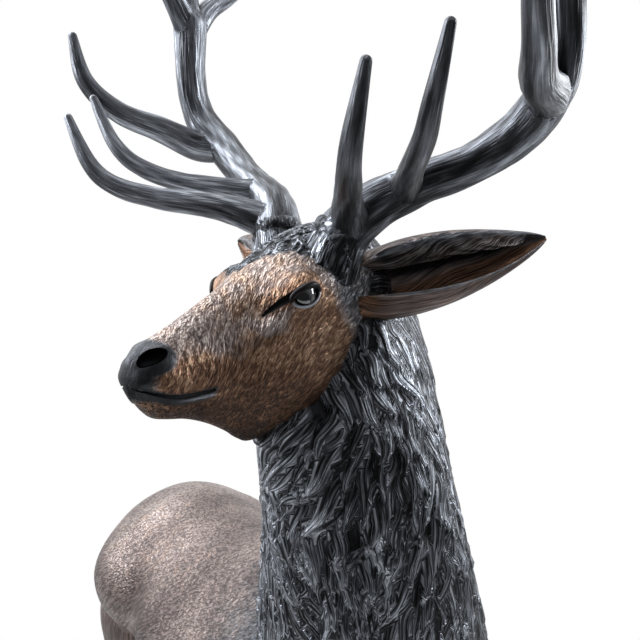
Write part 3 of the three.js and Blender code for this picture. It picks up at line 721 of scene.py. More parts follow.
# %% Head surface
HEAD_COLUMNS = 204
HEAD_PITCH = 2.9
coarse = np.linspace(0.4, len(HEAD) - 1, 400)
coarse_middles = chord_middles(rows_at(HEAD, coarse))
travelled = np.concatenate([[0], np.cumsum(np.linalg.norm(np.diff(coarse_middles, axis=0), axis=-1))])
head_places = np.interp(np.arange(0, travelled[-1], HEAD_PITCH), travelled, coarse)
rows, head_places, shrink, push = capped(rows_at(HEAD, head_places), head_places, (False, True), 6)
even = np.arange(HEAD_COLUMNS) / HEAD_COLUMNS
shares = even - 0.075 * np.sin(2 * np.pi * even)  # closer columns over the forehead
straight = outlines(rows, shares)
straight = shrunk(straight, shrink, push, 9)
from_top = np.minimum(shares, 1 - shares)[None]
place_in_head = from_head(straight)
sink = -10 * smoothstep(ahead_of_fur(place_in_head), 14, -30)
between_burrs = np.exp(-((place_in_head[..., 0] + 8) / 42) ** 2 - (place_in_head[..., 1] / 34) ** 2)
sink = sink - 9 * between_burrs * (from_top < 0.2)
straight = raised(straight, chord_middles(rows), (swell(straight) + sink) * (push <= 0)[:, None])
place_in_head = from_head(straight)
F, L, U = place_in_head[..., 0], place_in_head[..., 1], place_in_head[..., 2]
head = with_head(straight)
head_normals = grid_normals(head)
print("head", head.shape[:2], "long", round(float(travelled[-1])), "mm")


def on_face(forward, up, side=1):
    """A place and normal on the cheek: the mean of nearby grid points, weighing exp(-d^2 / 4^2)."""
    weight = np.exp(-((F - forward) ** 2 + (U - up) ** 2) / 16) * (side * L > 5)
    weight = (weight / weight.sum())[..., None]
    normal = (weight * head_normals).sum((0, 1))
    return (weight * head).sum((0, 1)), normal / np.linalg.norm(normal)


# %% Forehead curls
CURL_EDGE = np.array([  # the curls' edge: forward, share of the ring from its top
    [-60, 0.15], [10, 0.12], [47, 0.094], [70, 0.054], [83, 0.034], [103, 0.004], [135, -0.04],
])
inside_curls = (np.interp(F, CURL_EDGE[:, 0], CURL_EDGE[:, 1]) - from_top
                + (L < 0) * (0.03 + 0.07 * smoothstep(F, 118, 94))
                + 0.005 * np.sin(F / 4.3 + 3 * np.sin(U / 6)) + 0.004 * np.sin(F / 2.1 - U / 5))
curly = smoothstep(inside_curls, -0.006, 0.012)
finer = smoothstep(F, 60, 150)
spacing = np.where((inside_curls > 0) & (ahead_of_fur(place_in_head) > -26), lerp(6.6, 5.0, finer), -1.0)
roots = scattered(head, spacing, 30000, seed=23)
at = tuple(roots.T)
count = len(roots)
dice = np.random.default_rng(8)
forward_on_head = np.gradient(head, axis=0)
forward_on_head /= np.linalg.norm(forward_on_head, axis=-1, keepdims=True)
lies = forward_on_head[at]
side_of_head = np.sign(L[at])
twist = (dice.normal(0, 0.5, count) + 0.5 * side_of_head)[:, None]
lies = lies * np.cos(twist) + np.cross(head_normals[at], lies) * np.sin(twist)
shorter = lerp(1.0, 0.6, finer[at])
curl_relief, curl_grain = laid_locks(
    head, head_normals, roots, lies, dice.uniform(13, 21, count) * shorter,
    dice.uniform(3.5, 4.8, count) * shorter, dice.uniform(2.6, 4.0, count) * shorter,
    dice.normal(0, 0.35, count), dice.normal(0, 0.5, count))
print(count, "curls")

# %% Coat of the head
TEMPLE = np.array([  # the front edge of the grey temple: up, forward
    [-200, -10], [-174, 0], [-150, -6], [-133, -11], [-115, 8], [-96, 28], [-73, 44], [-48, 52],
    [-20, 58], [20, 70],
])
temple = 1 - smoothstep(F - np.interp(U, TEMPLE[:, 0], TEMPLE[:, 1]), -28, 16)
brown = smoothstep(ahead_of_fur(place_in_head), -16, 12) * (1 - 0.86 * temple) * (1 - curly)
bridge = 1 - smoothstep(from_top, 0.07, 0.24)
brown *= 1 - 0.42 * bridge
under_eye = np.exp(-(((F - 118) / 34) ** 2 + ((U + 122) / 17) ** 2))
muzzle_side = np.exp(-(((F - 175) / 60) ** 2 + ((U + 140) / 26) ** 2))
brown *= 1 - 0.5 * np.maximum(under_eye, muzzle_side)
nose_pad = 1 - smoothstep(np.sqrt((F - 268) ** 2 + (L / 1.1) ** 2 + (U + 178) ** 2), 25, 40)
nostril_rim = 1 - smoothstep(np.sqrt(((F - 254) / 1.4) ** 2 + (U + 157) ** 2), 14, 22)
dark_nose = np.clip(nose_pad + nostril_rim, 0, 1)
MOUTH = np.array([[175, -196], [199, -200], [226, -202], [250, -198], [268, -194]])  # forward, up
lip_height = np.interp(F, MOUTH[:, 0], MOUTH[:, 1])
lips = smoothstep(F, 165, 178) * (1 - smoothstep(np.abs(U - lip_height + 3.5), 4.5, 9))
brown *= (1 - dark_nose) * (1 - lips)
# the bridge of the nose is 0.08 paler, a painted sheen on the top of the muzzle; lower down, and under the
# chin, the tone falls, so the head darkens towards the bottom
tone = 0.59 + 0.03 * (1 - temple) + 0.08 * bridge * (1 - curly) - 0.24 * smoothstep(U, -160, -245)
tone -= 0.15 * smoothstep(U, -204, -222) * smoothstep(F, 150, 190)
under_pit = np.exp(-(((F - 108) / 15) ** 2 + ((U + 112 + 0.9 * (F - 108)) / 10) ** 2))
tone += 0.12 * under_pit
brown *= 1 - 0.6 * under_pit
# a painted highlight along the lower lip, towards the corners of the mouth
painted_lip_highlight = np.exp(-((U - lip_height + 6.5) / 2.2) ** 2) * smoothstep(F, 245, 195)
tone -= (0.45 - 0.75 * painted_lip_highlight) * lips + dark_nose * lerp(0.36, 0.32, smoothstep(U, -160, -185))
# on the curls the tone follows their relief: dark patina and painted shade between them, a painted highlight
# on their tops
tone = lerp(tone, np.clip(0.17 + curl_relief / 4.0, 0, 1), curly)
# painted shade under the jaw
painted_shade_under_jaw = smoothstep(U, -236, -272) * (1 - smoothstep(F, 150, 190))
tone -= 0.3 * painted_shade_under_jaw
hair = 0.12 + 0.48 * (1 - dark_nose) * (1 - lips) + 0.35 * curly
# hair on the face lies back and down: the grain's third number runs that way
slant = np.radians(lerp(70.0, 48.0, smoothstep(F, 200, 40)))
face_grain = np.stack([F * np.sin(slant) + U * np.cos(slant), L,
                       4.5 * (U * np.sin(slant) - F * np.cos(slant))], -1)
head_grain = lerp(face_grain, curl_grain, (curly > 0.5)[..., None])
head_shaped = head + head_normals * (curly * (curl_relief - 1.6) + 1.2 * nostril_rim)[..., None]
shell("head", head_shaped, head_grain, brown=brown, tone=tone, hair=hair, melt=22)

# %% Tubes along a path


def tube(path, radii, sides, pitch, tip=True, relief=None, start=(0.3, 1.0, 0.2)):
    """Rings of a tapering tube on a Catmull-Rom path; the last end is rounded when tip is true.

    A ring's points are centre + r (cos a across + sin a third), the two directions being handed on
    from ring to ring without twist. relief(a, s) scales r; s runs in millimetres.
    """
    table = np.concatenate([np.asarray(path, float), np.asarray(radii, float)[:, None]], 1)
    fine = np.linspace(0, len(table) - 1, 60 * len(table))
    dense = rows_at(table, fine)
    travelled = np.concatenate([[0], np.cumsum(np.linalg.norm(np.diff(dense[:, :3], axis=0), axis=-1))])
    s = np.linspace(0, travelled[-1], max(4, int(travelled[-1] / pitch) + 1))
    rings = rows_at(table, np.interp(s, travelled, fine))
    shrink = push = None
    if tip:
        rings, s, shrink, push = capped(rings, s, (False, True), 6)
    centres, radius = rings[:, :3], rings[:, 3].copy()
    along = np.gradient(dense[:, :3], axis=0)
    along = np.stack([np.interp(s, travelled, along[:, axis]) for axis in range(3)], -1)
    along /= np.linalg.norm(along, axis=-1, keepdims=True)
    if tip:
        centres = centres + along * (push * radius)[:, None]
        s = s + push * radius
        radius = radius * shrink
    across = np.empty_like(centres)
    held = np.array(start, float)
    for n, direction in enumerate(along):
        held = held - direction * (held @ direction)
        held /= np.linalg.norm(held)
        across[n] = held
    third = np.cross(along, across)
    angle = 2 * np.pi * np.arange(sides) / sides
    r = radius[:, None] * (1 if relief is None else relief(angle[None], s[:, None]))
    x, y = r * np.cos(angle), r * np.sin(angle)
    points = centres[:, None] + x[..., None] * across[:, None] + y[..., None] * third[:, None]
    grain = np.stack([x, y, np.broadcast_to(s[:, None], x.shape)], -1)
    return points, grain


print("a tube's ring has across and third directions")

# %% [markdown]
# ## Antlers
# A red deer's antler is a beam with brow, bay and tray tines and a crown of three. It grows from a
# rough wreath, the burr, and long grooves left by the blood vessels run up it and fade towards the
# smooth tips. The grooves are waves round the tube that drift slowly as they climb.

# %% Antler tables
BEAMS = {
    "left": [[6, 42, -52], [0, 62, 0], [-21, 99, 39], [-48, 150, 68], [-82, 200, 94], [-94, 255, 130],
             [-78, 300, 170], [-56, 321, 210], [-36, 328, 262], [-26, 325, 335]],
    "right": [[6, 42, -52], [0, 62, 0], [-21, 99, 39], [-42, 156, 68], [-63, 219, 99], [-71, 279, 142],
              [-59, 320, 182], [-46, 332, 220], [-34, 329, 264], [-26, 325, 335]],
}
BEAM_RADII = [42, 35, 30, 26, 25, 27, 26, 24, 24, 27]
TRAYS = {
    "left": [[-84, 288, 158], [-44, 314, 158], [16, 335, 156], [76, 366, 176], [122, 386, 222],
             [142, 394, 286]],
    "right": [[-76, 268, 140], [-44, 314, 143], [16, 335, 161], [76, 366, 181], [122, 386, 222],
              [142, 394, 286]],
}
TRAY_RADII = [22, 24, 20, 16.5, 13.5, 7]
TINES = [
    ([[-18, 58, 6], [4, 76, 14], [58, 120, 30], [126, 181, 38], [169, 219, 52], [192, 243, 80],
      [210, 270, 139]], [20, 25, 18.5, 15, 13, 11, 6], "tines"),
    ([[-52, 128, 52], [-30, 136, 58], [4, 165, 62], [60, 214, 68], [103, 260, 88], [128, 287, 120],
      [147, 315, 182]], [18, 21, 17, 14, 12.5, 10.5, 6], "tines"),
    ([[-34, 326, 290], [-28, 326, 318], [10, 320, 362], [52, 316, 408], [76, 318, 478]],
     [19, 22, 17, 13, 5], "tines"),
    ([[-30, 326, 290], [-30, 326, 318], [-58, 322, 366], [-104, 314, 410], [-134, 312, 470]],
     [19, 22, 17, 13, 5], "crown"),
    ([[-26, 325, 300], [-26, 325, 322], [-22, 336, 390], [-26, 352, 450], [-30, 356, 524]],
     [19, 23, 18, 13, 5], "crown fork"),
]
BURR_RADIUS, BURR_HEIGHT = 37, 18
BURR_WAIST = 27  # the ring's inner radius, where it clasps the beam


def grooved(length, seed, strength=1.0):
    """Relief of an antler: four sets of waves round the tube, fading near the tip."""
    dice = np.random.default_rng(seed)
    sets = [(n, dice.uniform(0, 6.28), dice.uniform(-0.012, 0.012), depth)
            for n, depth in ((3, 0.030), (5, 0.026), (8, 0.020), (11, 0.014))]

    def relief(angle, s):
        """1 plus the sum of depth sin(n (angle + drift s) + phase), fading towards the tip."""
        fading = strength * (0.25 + 0.75 * smoothstep(length - s, 0.02 * length, 0.5 * length))
        total = sum(depth * np.sin(n * angle + phase + n * drift * s) for n, phase, drift, depth in sets)
        return 1 + fading * total
    return relief


def antler_tone(grain):
    """Grooves are darker and ridges paler: the grooves' patina with painted shade in them, and a painted
    highlight on the ridges.
    """
    r = np.hypot(grain[..., 0], grain[..., 1])
    return np.clip(0.42 + 4.5 * (r / r.mean(1, keepdims=True) - 1), 0.05, 0.9)


def pedicle(grain):
    """1 where the beam stands in the fur of the skull, 0 above the burr."""
    return 1 - smoothstep(grain[..., 2], 40, 62)


for side in (1, -1):
    placed = np.array([1, side, 1])
    name = "left" if side > 0 else "right"
    # the right antler is painted 0.2 paler, a painted reflection of the bright sky it faces
    paler = 0.0 if side > 0 else 0.2
    route = at_head(np.array(BEAMS[name]) * placed)
    points, grain = tube(route, BEAM_RADII, 30, 6, relief=grooved(640, 31 + side, 1.3))
    # the pedicle is also painted 0.12 paler, lifting the shade under the burr
    shell(f"{name} beam", points, grain, tone=antler_tone(grain) + 0.12 * pedicle(grain) + paler,
          hair=lerp(0.34, 1.0, pedicle(grain)), melt=26, kind="limbs")
    for number, (path, radii, group) in enumerate([*TINES, (TRAYS[name], TRAY_RADII, "tines")]):
        route = at_head(np.array(path) * placed)
        points, grain = tube(route, radii, 20, 6, relief=grooved(330, 50 + number * 3 + side))
        shell(f"{name} tine {number}", points, grain, tone=antler_tone(grain) + paler, hair=0.28,
              melt=26, kind=group)
    seat = at_head(np.array(BEAMS[name][1]) * placed)
    axis = at_head(np.array(BEAMS[name][2]) * placed) - seat
    axis /= np.linalg.norm(axis)
    seat = seat - 12 * axis
    across = np.cross(axis, [0.3, 1.0, 0.2])
    across /= np.linalg.norm(across)
    third = np.cross(axis, across)
    level = np.linspace(-1, 1, 15)[:, None] * 0.985
    angle = 2 * np.pi * np.arange(64)[None] / 64
    lumps = (np.cos(9 * angle + 2.5 * level) + 0.8 * np.cos(14 * angle - 3 * level + side)
             + 0.7 * np.cos(5 * angle + 1.7) + 0.6 * np.cos(23 * angle + 4 * level))
    r = BURR_WAIST + (BURR_RADIUS - BURR_WAIST) * np.sqrt(1 - level ** 2) * (0.9 + 0.09 * lumps)
    height = level * (0.62 * BURR_HEIGHT + 1.6 * np.cos(7 * angle))
    points = seat + (r * np.cos(angle))[..., None] * across + (r * np.sin(angle))[..., None] * third \
        + height[..., None] * axis
    grain = np.stack([r * np.cos(angle), r * np.sin(angle), height + 0 * angle], -1)
    # the burr's tone follows its lumps: patina and painted shade between them, a painted highlight on them
    shell(f"{name} burr", points, grain, tone=np.clip(0.3 + 0.12 * lumps, 0.05, 0.8), hair=0.6,
          melt=13, kind="burrs")
print("antlers:", len(TINES) + 1, "tines a side")

# %% [markdown]
# ## Ears
# An ear is a thin leaf curled round a hollow. Its ring is an arc out along the back of the leaf and
# home again along the hollow, with the rim rounded where the two meet. Long hair grows from the front
# edge and hangs over the hollow.

# %% Ears
EAR_WIDTH, EAR_THICKNESS = 52, 12
EARS = {
    "left": ([-24, 40, -84], [-218, 226, 8], [0.7, 0.66, 0.22]),
    "right": ([-37, -34, -83], [-108, -262, -6], [0.86, -0.3, -0.42]),
}
EAR_ROWS, EAR_COLUMNS = 54, 66


def ear_rings(root, tip, opens_to, side):
    """Rings of an ear from its root (s = 0) to its tip (s = 1), with their notes for the coat.

    The leaf's radius is width sin(pi (0.1 + 0.893 s)^0.8)^0.7. It bends to each side through 2.95
    radians at the root and 2.0 at the tip along its lower rim, and through 2.6 and 1.6 along the
    upper one.
    """
    root, tip = at_head(root), at_head(tip)
    opens = at_head(opens_to) - at_head([0, 0, 0])
    along = (tip - root) / np.linalg.norm(tip - root)
    facing = opens - along * (opens @ along)
    facing /= np.linalg.norm(facing)
    across = np.cross(along, facing)
    s = np.linspace(0, 1, EAR_ROWS)[:, None]
    turn = 2 * np.pi * (np.arange(EAR_COLUMNS)[None] + 0.5) / EAR_COLUMNS
    sweep = 1 - 2 * np.abs(turn / np.pi - 1)  # -1 on one rim, 1 on the other
    inner = 0.5 + 0.5 * np.tanh(5 * np.sin(turn + np.pi)) / np.tanh(5)
    radius = EAR_WIDTH * np.maximum(0.06, np.sin(np.pi * (0.1 + 0.893 * s) ** 0.8) ** 0.7)
    edge = -side * sweep  # 1 along the upper rim
    bend = lerp(lerp(2.95, 2.0, s), lerp(2.6, 1.6, s), smoothstep(edge, -0.6, 0.6))
    angle = bend * sweep
    wall = np.minimum(lerp(EAR_THICKNESS, 6.0, sweep ** 2), 0.4 * radius)
    # hair hangs from one edge as a soft roll, with a deep fold under it
    roll = 36 * np.exp(-((edge - 0.66) / 0.27) ** 2) * np.sin(np.pi * np.clip((s - 0.08) / 0.84, 0, 1)) ** 0.7
    strands = np.sin(22 * (edge + 0.4 * s) + 26 * s + 2 * np.sin(9 * s)) * smoothstep(roll, 2, 7)
    fold = -3.5 * np.exp(-((edge - 0.16) / 0.10) ** 2) * np.sin(np.pi * s)
    lining = np.clip(np.minimum(roll, 0.52 * radius) + 1.2 * strands + fold, -3.5, 0.56 * radius)
    r = radius - inner * (wall + lining)
    centre = root + (tip - root) * s[..., None] + facing * 0.2 * EAR_WIDTH
    points = centre - 0.7 * (r * np.cos(angle))[..., None] * facing + (r * np.sin(angle))[..., None] * across
    grain = np.stack([angle * radius + 75 * s * inner + 5 * np.sin(15 * s), inner * 20 + 0 * s,
                      s * 230 + 0 * angle], -1)
    # the rim is painted pale grey as a highlight; the fold under the hair roll is painted dark, patina and
    # painted shade in the hollow
    rim = np.exp(-((1 - np.abs(sweep)) / 0.07) ** 2) * smoothstep(s, 0.08, 0.2)
    lining_tone = 0.5 + 0.14 * strands - 0.5 * smoothstep(-fold, 0.8, 3) + 0.22 * smoothstep(roll, 4, 14)
    tone = np.clip(lerp(0.36, lining_tone, inner) + 0.42 * rim, 0.02, 1)
    brown = lerp(0.42, 0.7 * smoothstep(edge, 0.1, -0.2) + 0.25, inner) * (1 - rim)
    brown = brown + 0.4 * smoothstep(s, 0.25, 0.08)
    hair = 0.35 + 0.6 * inner * smoothstep(roll, 4, 12)
    return points, grain, tone, brown, hair


for name, (root, tip, opens_to) in EARS.items():
    side = 1 if name == "left" else -1
    points, grain, tone, brown, hair = ear_rings(root, tip, opens_to, side)
    shell(f"{name} ear", points, grain, brown=brown, tone=tone, hair=hair, melt=16, kind="limbs")
print("ears", EAR_ROWS, "by", EAR_COLUMNS)

# %% [markdown]
# ## Legs, hooves and tail
# A leg is a stack of level ovals from the body down to the fetlock. Below the knee and hock the
# tendons stand behind the cannon bone with a groove on each side. The cloven hoof is two toes on the
# ground and two dewclaws behind.

# %% Leg tables
# Level sections: [height, forward, side, half length, half width]
FORE_LEG = np.array([
    [1110, 276, 98, 62, 40], [1040, 296, 130, 104, 64], [950, 316, 145, 112, 69], [850, 320, 146, 96, 64],
    [760, 302, 135, 76, 55], [690, 286, 125, 61, 47], [600, 290, 118, 48, 39], [500, 299, 113, 38, 32],
    [430, 304, 111, 35, 31], [385, 306, 110, 36, 32], [345, 303, 109, 27, 25], [290, 301, 108, 22, 20],
    [200, 299, 107, 21, 19], [140, 299, 107, 28, 24], [108, 303, 107, 28, 25], [78, 314, 107, 24, 24],
    [52, 325, 107, 28, 30],
], float)
HIND_LEG = np.array([
    [1070, -480, 112, 110, 60], [1000, -498, 137, 150, 84], [925, -504, 149, 162, 94],
    [845, -494, 151, 142, 83], [770, -476, 147, 110, 67], [700, -486, 140, 82, 54],
    [625, -524, 132, 59, 41], [565, -566, 125, 47, 32], [515, -594, 122, 43, 30],
    [470, -600, 121, 37, 29], [420, -594, 120, 27, 24], [340, -584, 119, 23, 20],
    [220, -570, 118, 22, 19], [140, -560, 118, 29, 26], [108, -553, 118, 29, 26],
    [78, -541, 118, 25, 25], [52, -530, 118, 29, 31],
], float)
STANCE = [(FORE_LEG, 1, 46), (FORE_LEG, -1, -34), (HIND_LEG, 1, -52), (HIND_LEG, -1, 38)]
TOE = [[64, -2, 20, 13], [45, 2, 27, 16], [20, 12, 37, 18], [0.3, 19, 44, 19]]
TOE_OUTWARD = 18
LEG_COLUMNS = 26


def oval_rings(centres, half_forward, half_side, columns, relief=None):
    """Level ovals: centre + half_side cos a sideways - half_forward sin a backwards."""
    angle = 2 * np.pi * np.arange(columns)[None] / columns
    swelling = 1 if relief is None else relief(angle, centres[:, 2:3])
    x = centres[:, 0:1] + half_side[:, None] * np.cos(angle) * swelling
    y = centres[:, 1:2] - half_forward[:, None] * np.sin(angle) * swelling
    return np.stack([x, y, np.broadcast_to(centres[:, 2:3], x.shape)], -1)


def tendons(angle, height):
    """A groove on each side of the lower leg, behind the bone, and a crease above each knuckle."""
    behind = -np.sin(angle)
    groove = np.exp(-((behind - 0.42) / 0.2) ** 2)
    lower = smoothstep(height, 400, 350) * smoothstep(height, 125, 165)
    return 1 - 0.13 * groove * lower - 0.03 * np.exp(-((height - 122) / 6) ** 2)


for table, side, step in STANCE:
    where = ("left" if side > 0 else "right") + (" fore" if table is FORE_LEG else " hind")
    levels = np.interp(np.arange(0, 78) / 77, np.linspace(0, 1, len(table)), np.arange(len(table)))
    rows = rows_at(table, levels)
    reach = step * np.clip((table[2, 0] - rows[:, 0]) / table[2, 0], 0, 1)
    centres = np.stack([side * rows[:, 2], -(rows[:, 1] + reach), rows[:, 0]], -1)
    points = oval_rings(centres, rows[:, 3], rows[:, 4], LEG_COLUMNS, tendons)
    grain = points * [1, 1, 0] + np.stack([0 * points[..., 0], 0 * points[..., 0], -points[..., 2]], -1)
    upper = smoothstep(points[..., 2], 300, 900)
    shell(f"{where} leg", points, grain, brown=0.5 * upper, tone=0.42 + 0.1 * upper, hair=0.45, melt=60,
          kind="limbs")
    foot = np.array([side * table[-1, 2], -(table[-1, 1] + reach[-1]), 0.0])
    for half in (-1, 1):
        rows = rows_at(TOE, np.linspace(0, 3, 22))
        centres = np.stack([np.full(22, foot[0] + half * TOE_OUTWARD), foot[1] - rows[:, 1], rows[:, 0]], -1)
        pointed = lambda angle, height: 1 + 0.05 * np.maximum(0, np.sin(angle)) ** 3 \
            - 0.012 * np.cos(np.clip((height - 4) / 42, 0, 1) * 30)
        points = oval_rings(centres, rows[:, 2], rows[:, 3], 24, pointed)
        shell(f"{where} toe", points, points * [1, 1, 0.2], tone=0.3, hair=0.05, melt=3,
              kind="inner toes" if half * side < 0 else "outer toes")
        level = np.linspace(0, 1, 12)
        centres = np.stack([np.full(12, foot[0] + half * 15.0), foot[1] + 30 + 6 * level,
                            84 + 24 * level], -1)
        size = 10.5 * np.sqrt(np.clip(1 - (1.9 * (level - 0.47)) ** 2, 0.02, 1))
        points = oval_rings(centres, size * 1.1, size, 14)
        shell(f"{where} dewclaw", points, points * [1, 1, 0.2], tone=0.3, hair=0.05, melt=3,
              kind="burrs")
TAIL = np.array([[-722, 1128, 34, 24], [-762, 1090, 30, 22], [-782, 1030, 30, 20], [-782, 965, 24, 16],
                 [-770, 915, 11, 9]], float)
rows = rows_at(TAIL, np.linspace(0, 4, 44))
centres = np.stack([np.zeros(44), -rows[:, 0], rows[:, 1]], -1)
tufts = lambda angle, height: 1 + 0.05 * np.sin(7 * angle + height / 16) * smoothstep(height, 1100, 1000)
points = oval_rings(centres, rows[:, 3], rows[:, 2], 30, tufts)
tail_grain = points * [1, 1, -1]
shell("tail", points, tail_grain, brown=0.6, tone=0.45, hair=0.8, melt=24, kind="limbs")
print("four legs, eight toes, eight dewclaws and a tail")

# %% [markdown]
# ## Eyes, nostrils and mouth
# The eye is a glossy ball set into an almond-shaped socket, between a heavy upper lid and a thin lower
# one. From its front corner a deer has a slit, the tear pit. These are cut like a modeller's tool
# cuts them: closed shapes are taken away from the skin, and the cut keeps their dark coat, which is
# the patina of a hollow and painted shade in it.

# %% Eyes
EYE_RADIUS = 19.5
EYE_SEAT = (80, -83)  # forward and up from the head's origin, as all places on the face
EYE_STANDS = 1.0  # how far the ball stands out from the face
NOSTRIL_SEAT = (256, -159)
TEAR_PIT = [(95, -80), (101, -86), (107, -93), (113, -101), (119, -108)]
TEAR_PIT_RADII = [6.3, 5.4, 4.5, 3.5, 2.4]
# the upper lid's near-black tone is a painted shadow: the dark line where the lid overhangs the ball
LIDS = {"upper": (12.9, 4.4, -0.15, 0.3), "lower": (-11.6, 2.0, 0.86, 0.15)}  # height, thickness, tone, brown


def ball(centre, axes, rows=22, columns=28):
    """An ellipsoid: centre + cos u axis 3 + sin u (cos v axis 1 + sin v axis 2)."""
    u = np.linspace(0, np.pi, rows + 2)[1:-1, None]
    v = 2 * np.pi * np.arange(columns)[None] / columns
    return (centre + (np.sin(u) * np.cos(v))[..., None] * axes[0]
            + (np.sin(u) * np.sin(v))[..., None] * axes[1] + (np.cos(u) + 0 * v)[..., None] * axes[2])


head_axes = [at_head(step) - at_head([0, 0, 0]) for step in ([1, 0, 0], [0, 1, 0], [0, 0, 1])]
face_points = head_shaped.reshape(-1, 3)


def above_face(seat, along, upward, outward, x, y):
    """How far the face stands out from a plane through seat: a mean weighing exp(-d^2 / (2 * 2.6^2))."""
    away = face_points - seat
    near = (away ** 2).sum(-1) < 75 ** 2
    away = away[near]
    a, b, rise = away @ along, away @ upward, away @ outward
    facing = rise > -30
    weight = np.exp(-((a[None] - x[:, None]) ** 2 + (b[None] - y[:, None]) ** 2) / 13.5) * facing
    return (weight * rise).sum(1) / np.maximum(weight.sum(1), 1e-9)


for side in (1, -1):
    name = "left" if side > 0 else "right"
    seat, normal = on_face(*EYE_SEAT, side)
    outward = normal * 0.85 + side * head_axes[1] * 0.15
    outward /= np.linalg.norm(outward)
    slit = head_axes[0] * 0.95 - head_axes[2] * 0.28
    slit -= outward * (slit @ outward)
    slit /= np.linalg.norm(slit)
    lidward = np.cross(slit, outward) * side
    lidward *= np.sign(lidward @ head_axes[2])
    centre = seat - outward * (EYE_RADIUS - EYE_STANDS)
    socket = ball(seat - outward * 3, [slit * 18.5, lidward * 12.8, outward * 12])
    # the socket's near-black walls show round the ball: patina and painted shade in the gap
    shell(f"{name} socket", socket, socket, tone=0.02, hair=0.0, melt=0.5, kind="cut hollows")
    eye = ball(centre, [slit * EYE_RADIUS, lidward * EYE_RADIUS, outward * EYE_RADIUS], 26, 36)
    shell(f"{name} eye", eye, eye, tone=0.2, hair=-1.0, melt=0, kind="eyes")
    # each lid follows the socket's edge, on the face or on the ball, whichever stands higher
    for lid, (height, thick, shade, warmth) in LIDS.items():
        turn = np.linspace(-0.1, np.pi + 0.1, 17)
        x = 19.5 * np.cos(turn) + 2.0 * np.maximum(0, np.cos(turn)) ** 4
        y = height * np.sin(turn) - 2.0 * np.cos(turn)
        on_ball = np.sqrt(np.clip(EYE_RADIUS ** 2 - x ** 2 - y ** 2, 1, None)) - (EYE_RADIUS - EYE_STANDS)
        rise = np.maximum(above_face(seat, slit, lidward, outward, x, y), on_ball)
        rise += 0.3 if lid == "lower" else 0.9 * np.sin(np.clip(turn, 0, np.pi))
        route = seat + x[:, None] * slit + y[:, None] * lidward + rise[:, None] * outward
        radii = thick * (0.5 + 0.5 * np.clip(np.sin(turn), 0, 1) ** 0.7)
        points, grain = tube(route, radii, 12, 2.2, tip=False, start=outward)
        shell(f"{name} {lid} lid", points, grain, brown=warmth, tone=shade, hair=0.0, melt=1.2,
              kind=f"{lid} lids")
    # the tear pit runs from the front corner forwards and down
    pit = [on_face(forward, up, side) for forward, up in TEAR_PIT]
    route = [place + 0.8 * out for place, out in pit]
    points, grain = tube(route, TEAR_PIT_RADII, 14, 2.6, start=outward)
    # the pit's dark tone is patina and painted shade in the slit
    shell(f"{name} tear pit", points, grain, brown=0.2, tone=0.06, hair=0.0, melt=2.4, kind="cut slits")
    place, out = on_face(*NOSTRIL_SEAT, side)
    lengthways = head_axes[0] * 0.80 - head_axes[2] * 0.12 - side * head_axes[1] * 0.25
    lengthways -= out * (lengthways @ out)
    lengthways /= np.linalg.norm(lengthways)
    upward = np.cross(out, lengthways)
    upward *= np.sign(upward @ head_axes[2])
    hollow = ball(place - out * 2, [lengthways * 18.5, upward * 10.5, out * 14])
    droop = ((hollow - place) @ lengthways / 18.5)[..., None]
    hollow = hollow - upward * 3.2 * droop ** 2 * np.sign(droop) + upward * 2.0
    # the nostril's black is patina and painted shade in the hollow
    shell(f"{name} nostril", hollow, hollow, tone=0.0, hair=0.0, melt=3, kind="cut hollows")
# the mouth's cut runs forward along the left lips, round the front and back along the right ones
lips_route = [on_face(*corner, 1)[0] for corner in MOUTH]
lips_route += [on_face(*corner, -1)[0] for corner in MOUTH[::-1]]
lips_route.insert(5, lips_route[4] * 0.5 + lips_route[5] * 0.5 + 1.2 * head_axes[0])
points, grain = tube(lips_route, [2.0, 3.0, 2.8, 2.4, 1.5, 0.9, 1.5, 2.4, 2.8, 3.0, 2.0], 12, 3)
# the mouth's near-black line is patina and painted shade in the crease
shell("mouth", points, grain, tone=0.02, hair=0.0, melt=1, kind="cut mouth")
print("the left eye sits at", np.round(on_face(*EYE_SEAT)[0]))

# %% [markdown]
# ## Welding the casting
# A big bronze is cast in pieces, welded, and the seams are chased until they can't be seen. The same is
# done here. Boolean steps join the closed shells into one skin and throw away what lies inside. Shells
# that don't touch one another share a step, so fifteen steps are enough for the whole animal. Every
# point carries notes through the weld: its grain, its coat and the shell it came from. They show
# afterwards where two shells meet, and only there are the seams smoothed.

# %% Weld


def as_object(name, members):
    """One mesh from several shells, in metres and standing on the base, with their notes."""
    vertices, faces, count = [], [], 0
    for member in members:
        vertices.append(member["home"])
        faces += [[corner + count for corner in face] for face in member["faces"]]
        count += len(member["home"])
    mesh = bpy.data.meshes.new(name)
    placed = np.concatenate(vertices) * 0.001 + [0, 0, BASE_TOP]
    mesh.from_pydata(placed.tolist(), [], faces)
    notes = {"home": placed, "grain": np.concatenate([m["grain"] for m in members]),
             "coat": np.concatenate([m["coat"] for m in members])}
    for key, value in notes.items():
        mesh.attributes.new(key, "FLOAT_VECTOR", "POINT").data.foreach_set(
            "vector", np.ascontiguousarray(value, np.float32).ravel())
    number = np.concatenate([np.full(len(m["home"]), m["number"], np.float32) for m in members])
    mesh.attributes.new("shell", "FLOAT", "POINT").data.foreach_set("value", number)
    made = bpy.data.objects.new(name, mesh)
    bpy.context.collection.objects.link(made)
    return made


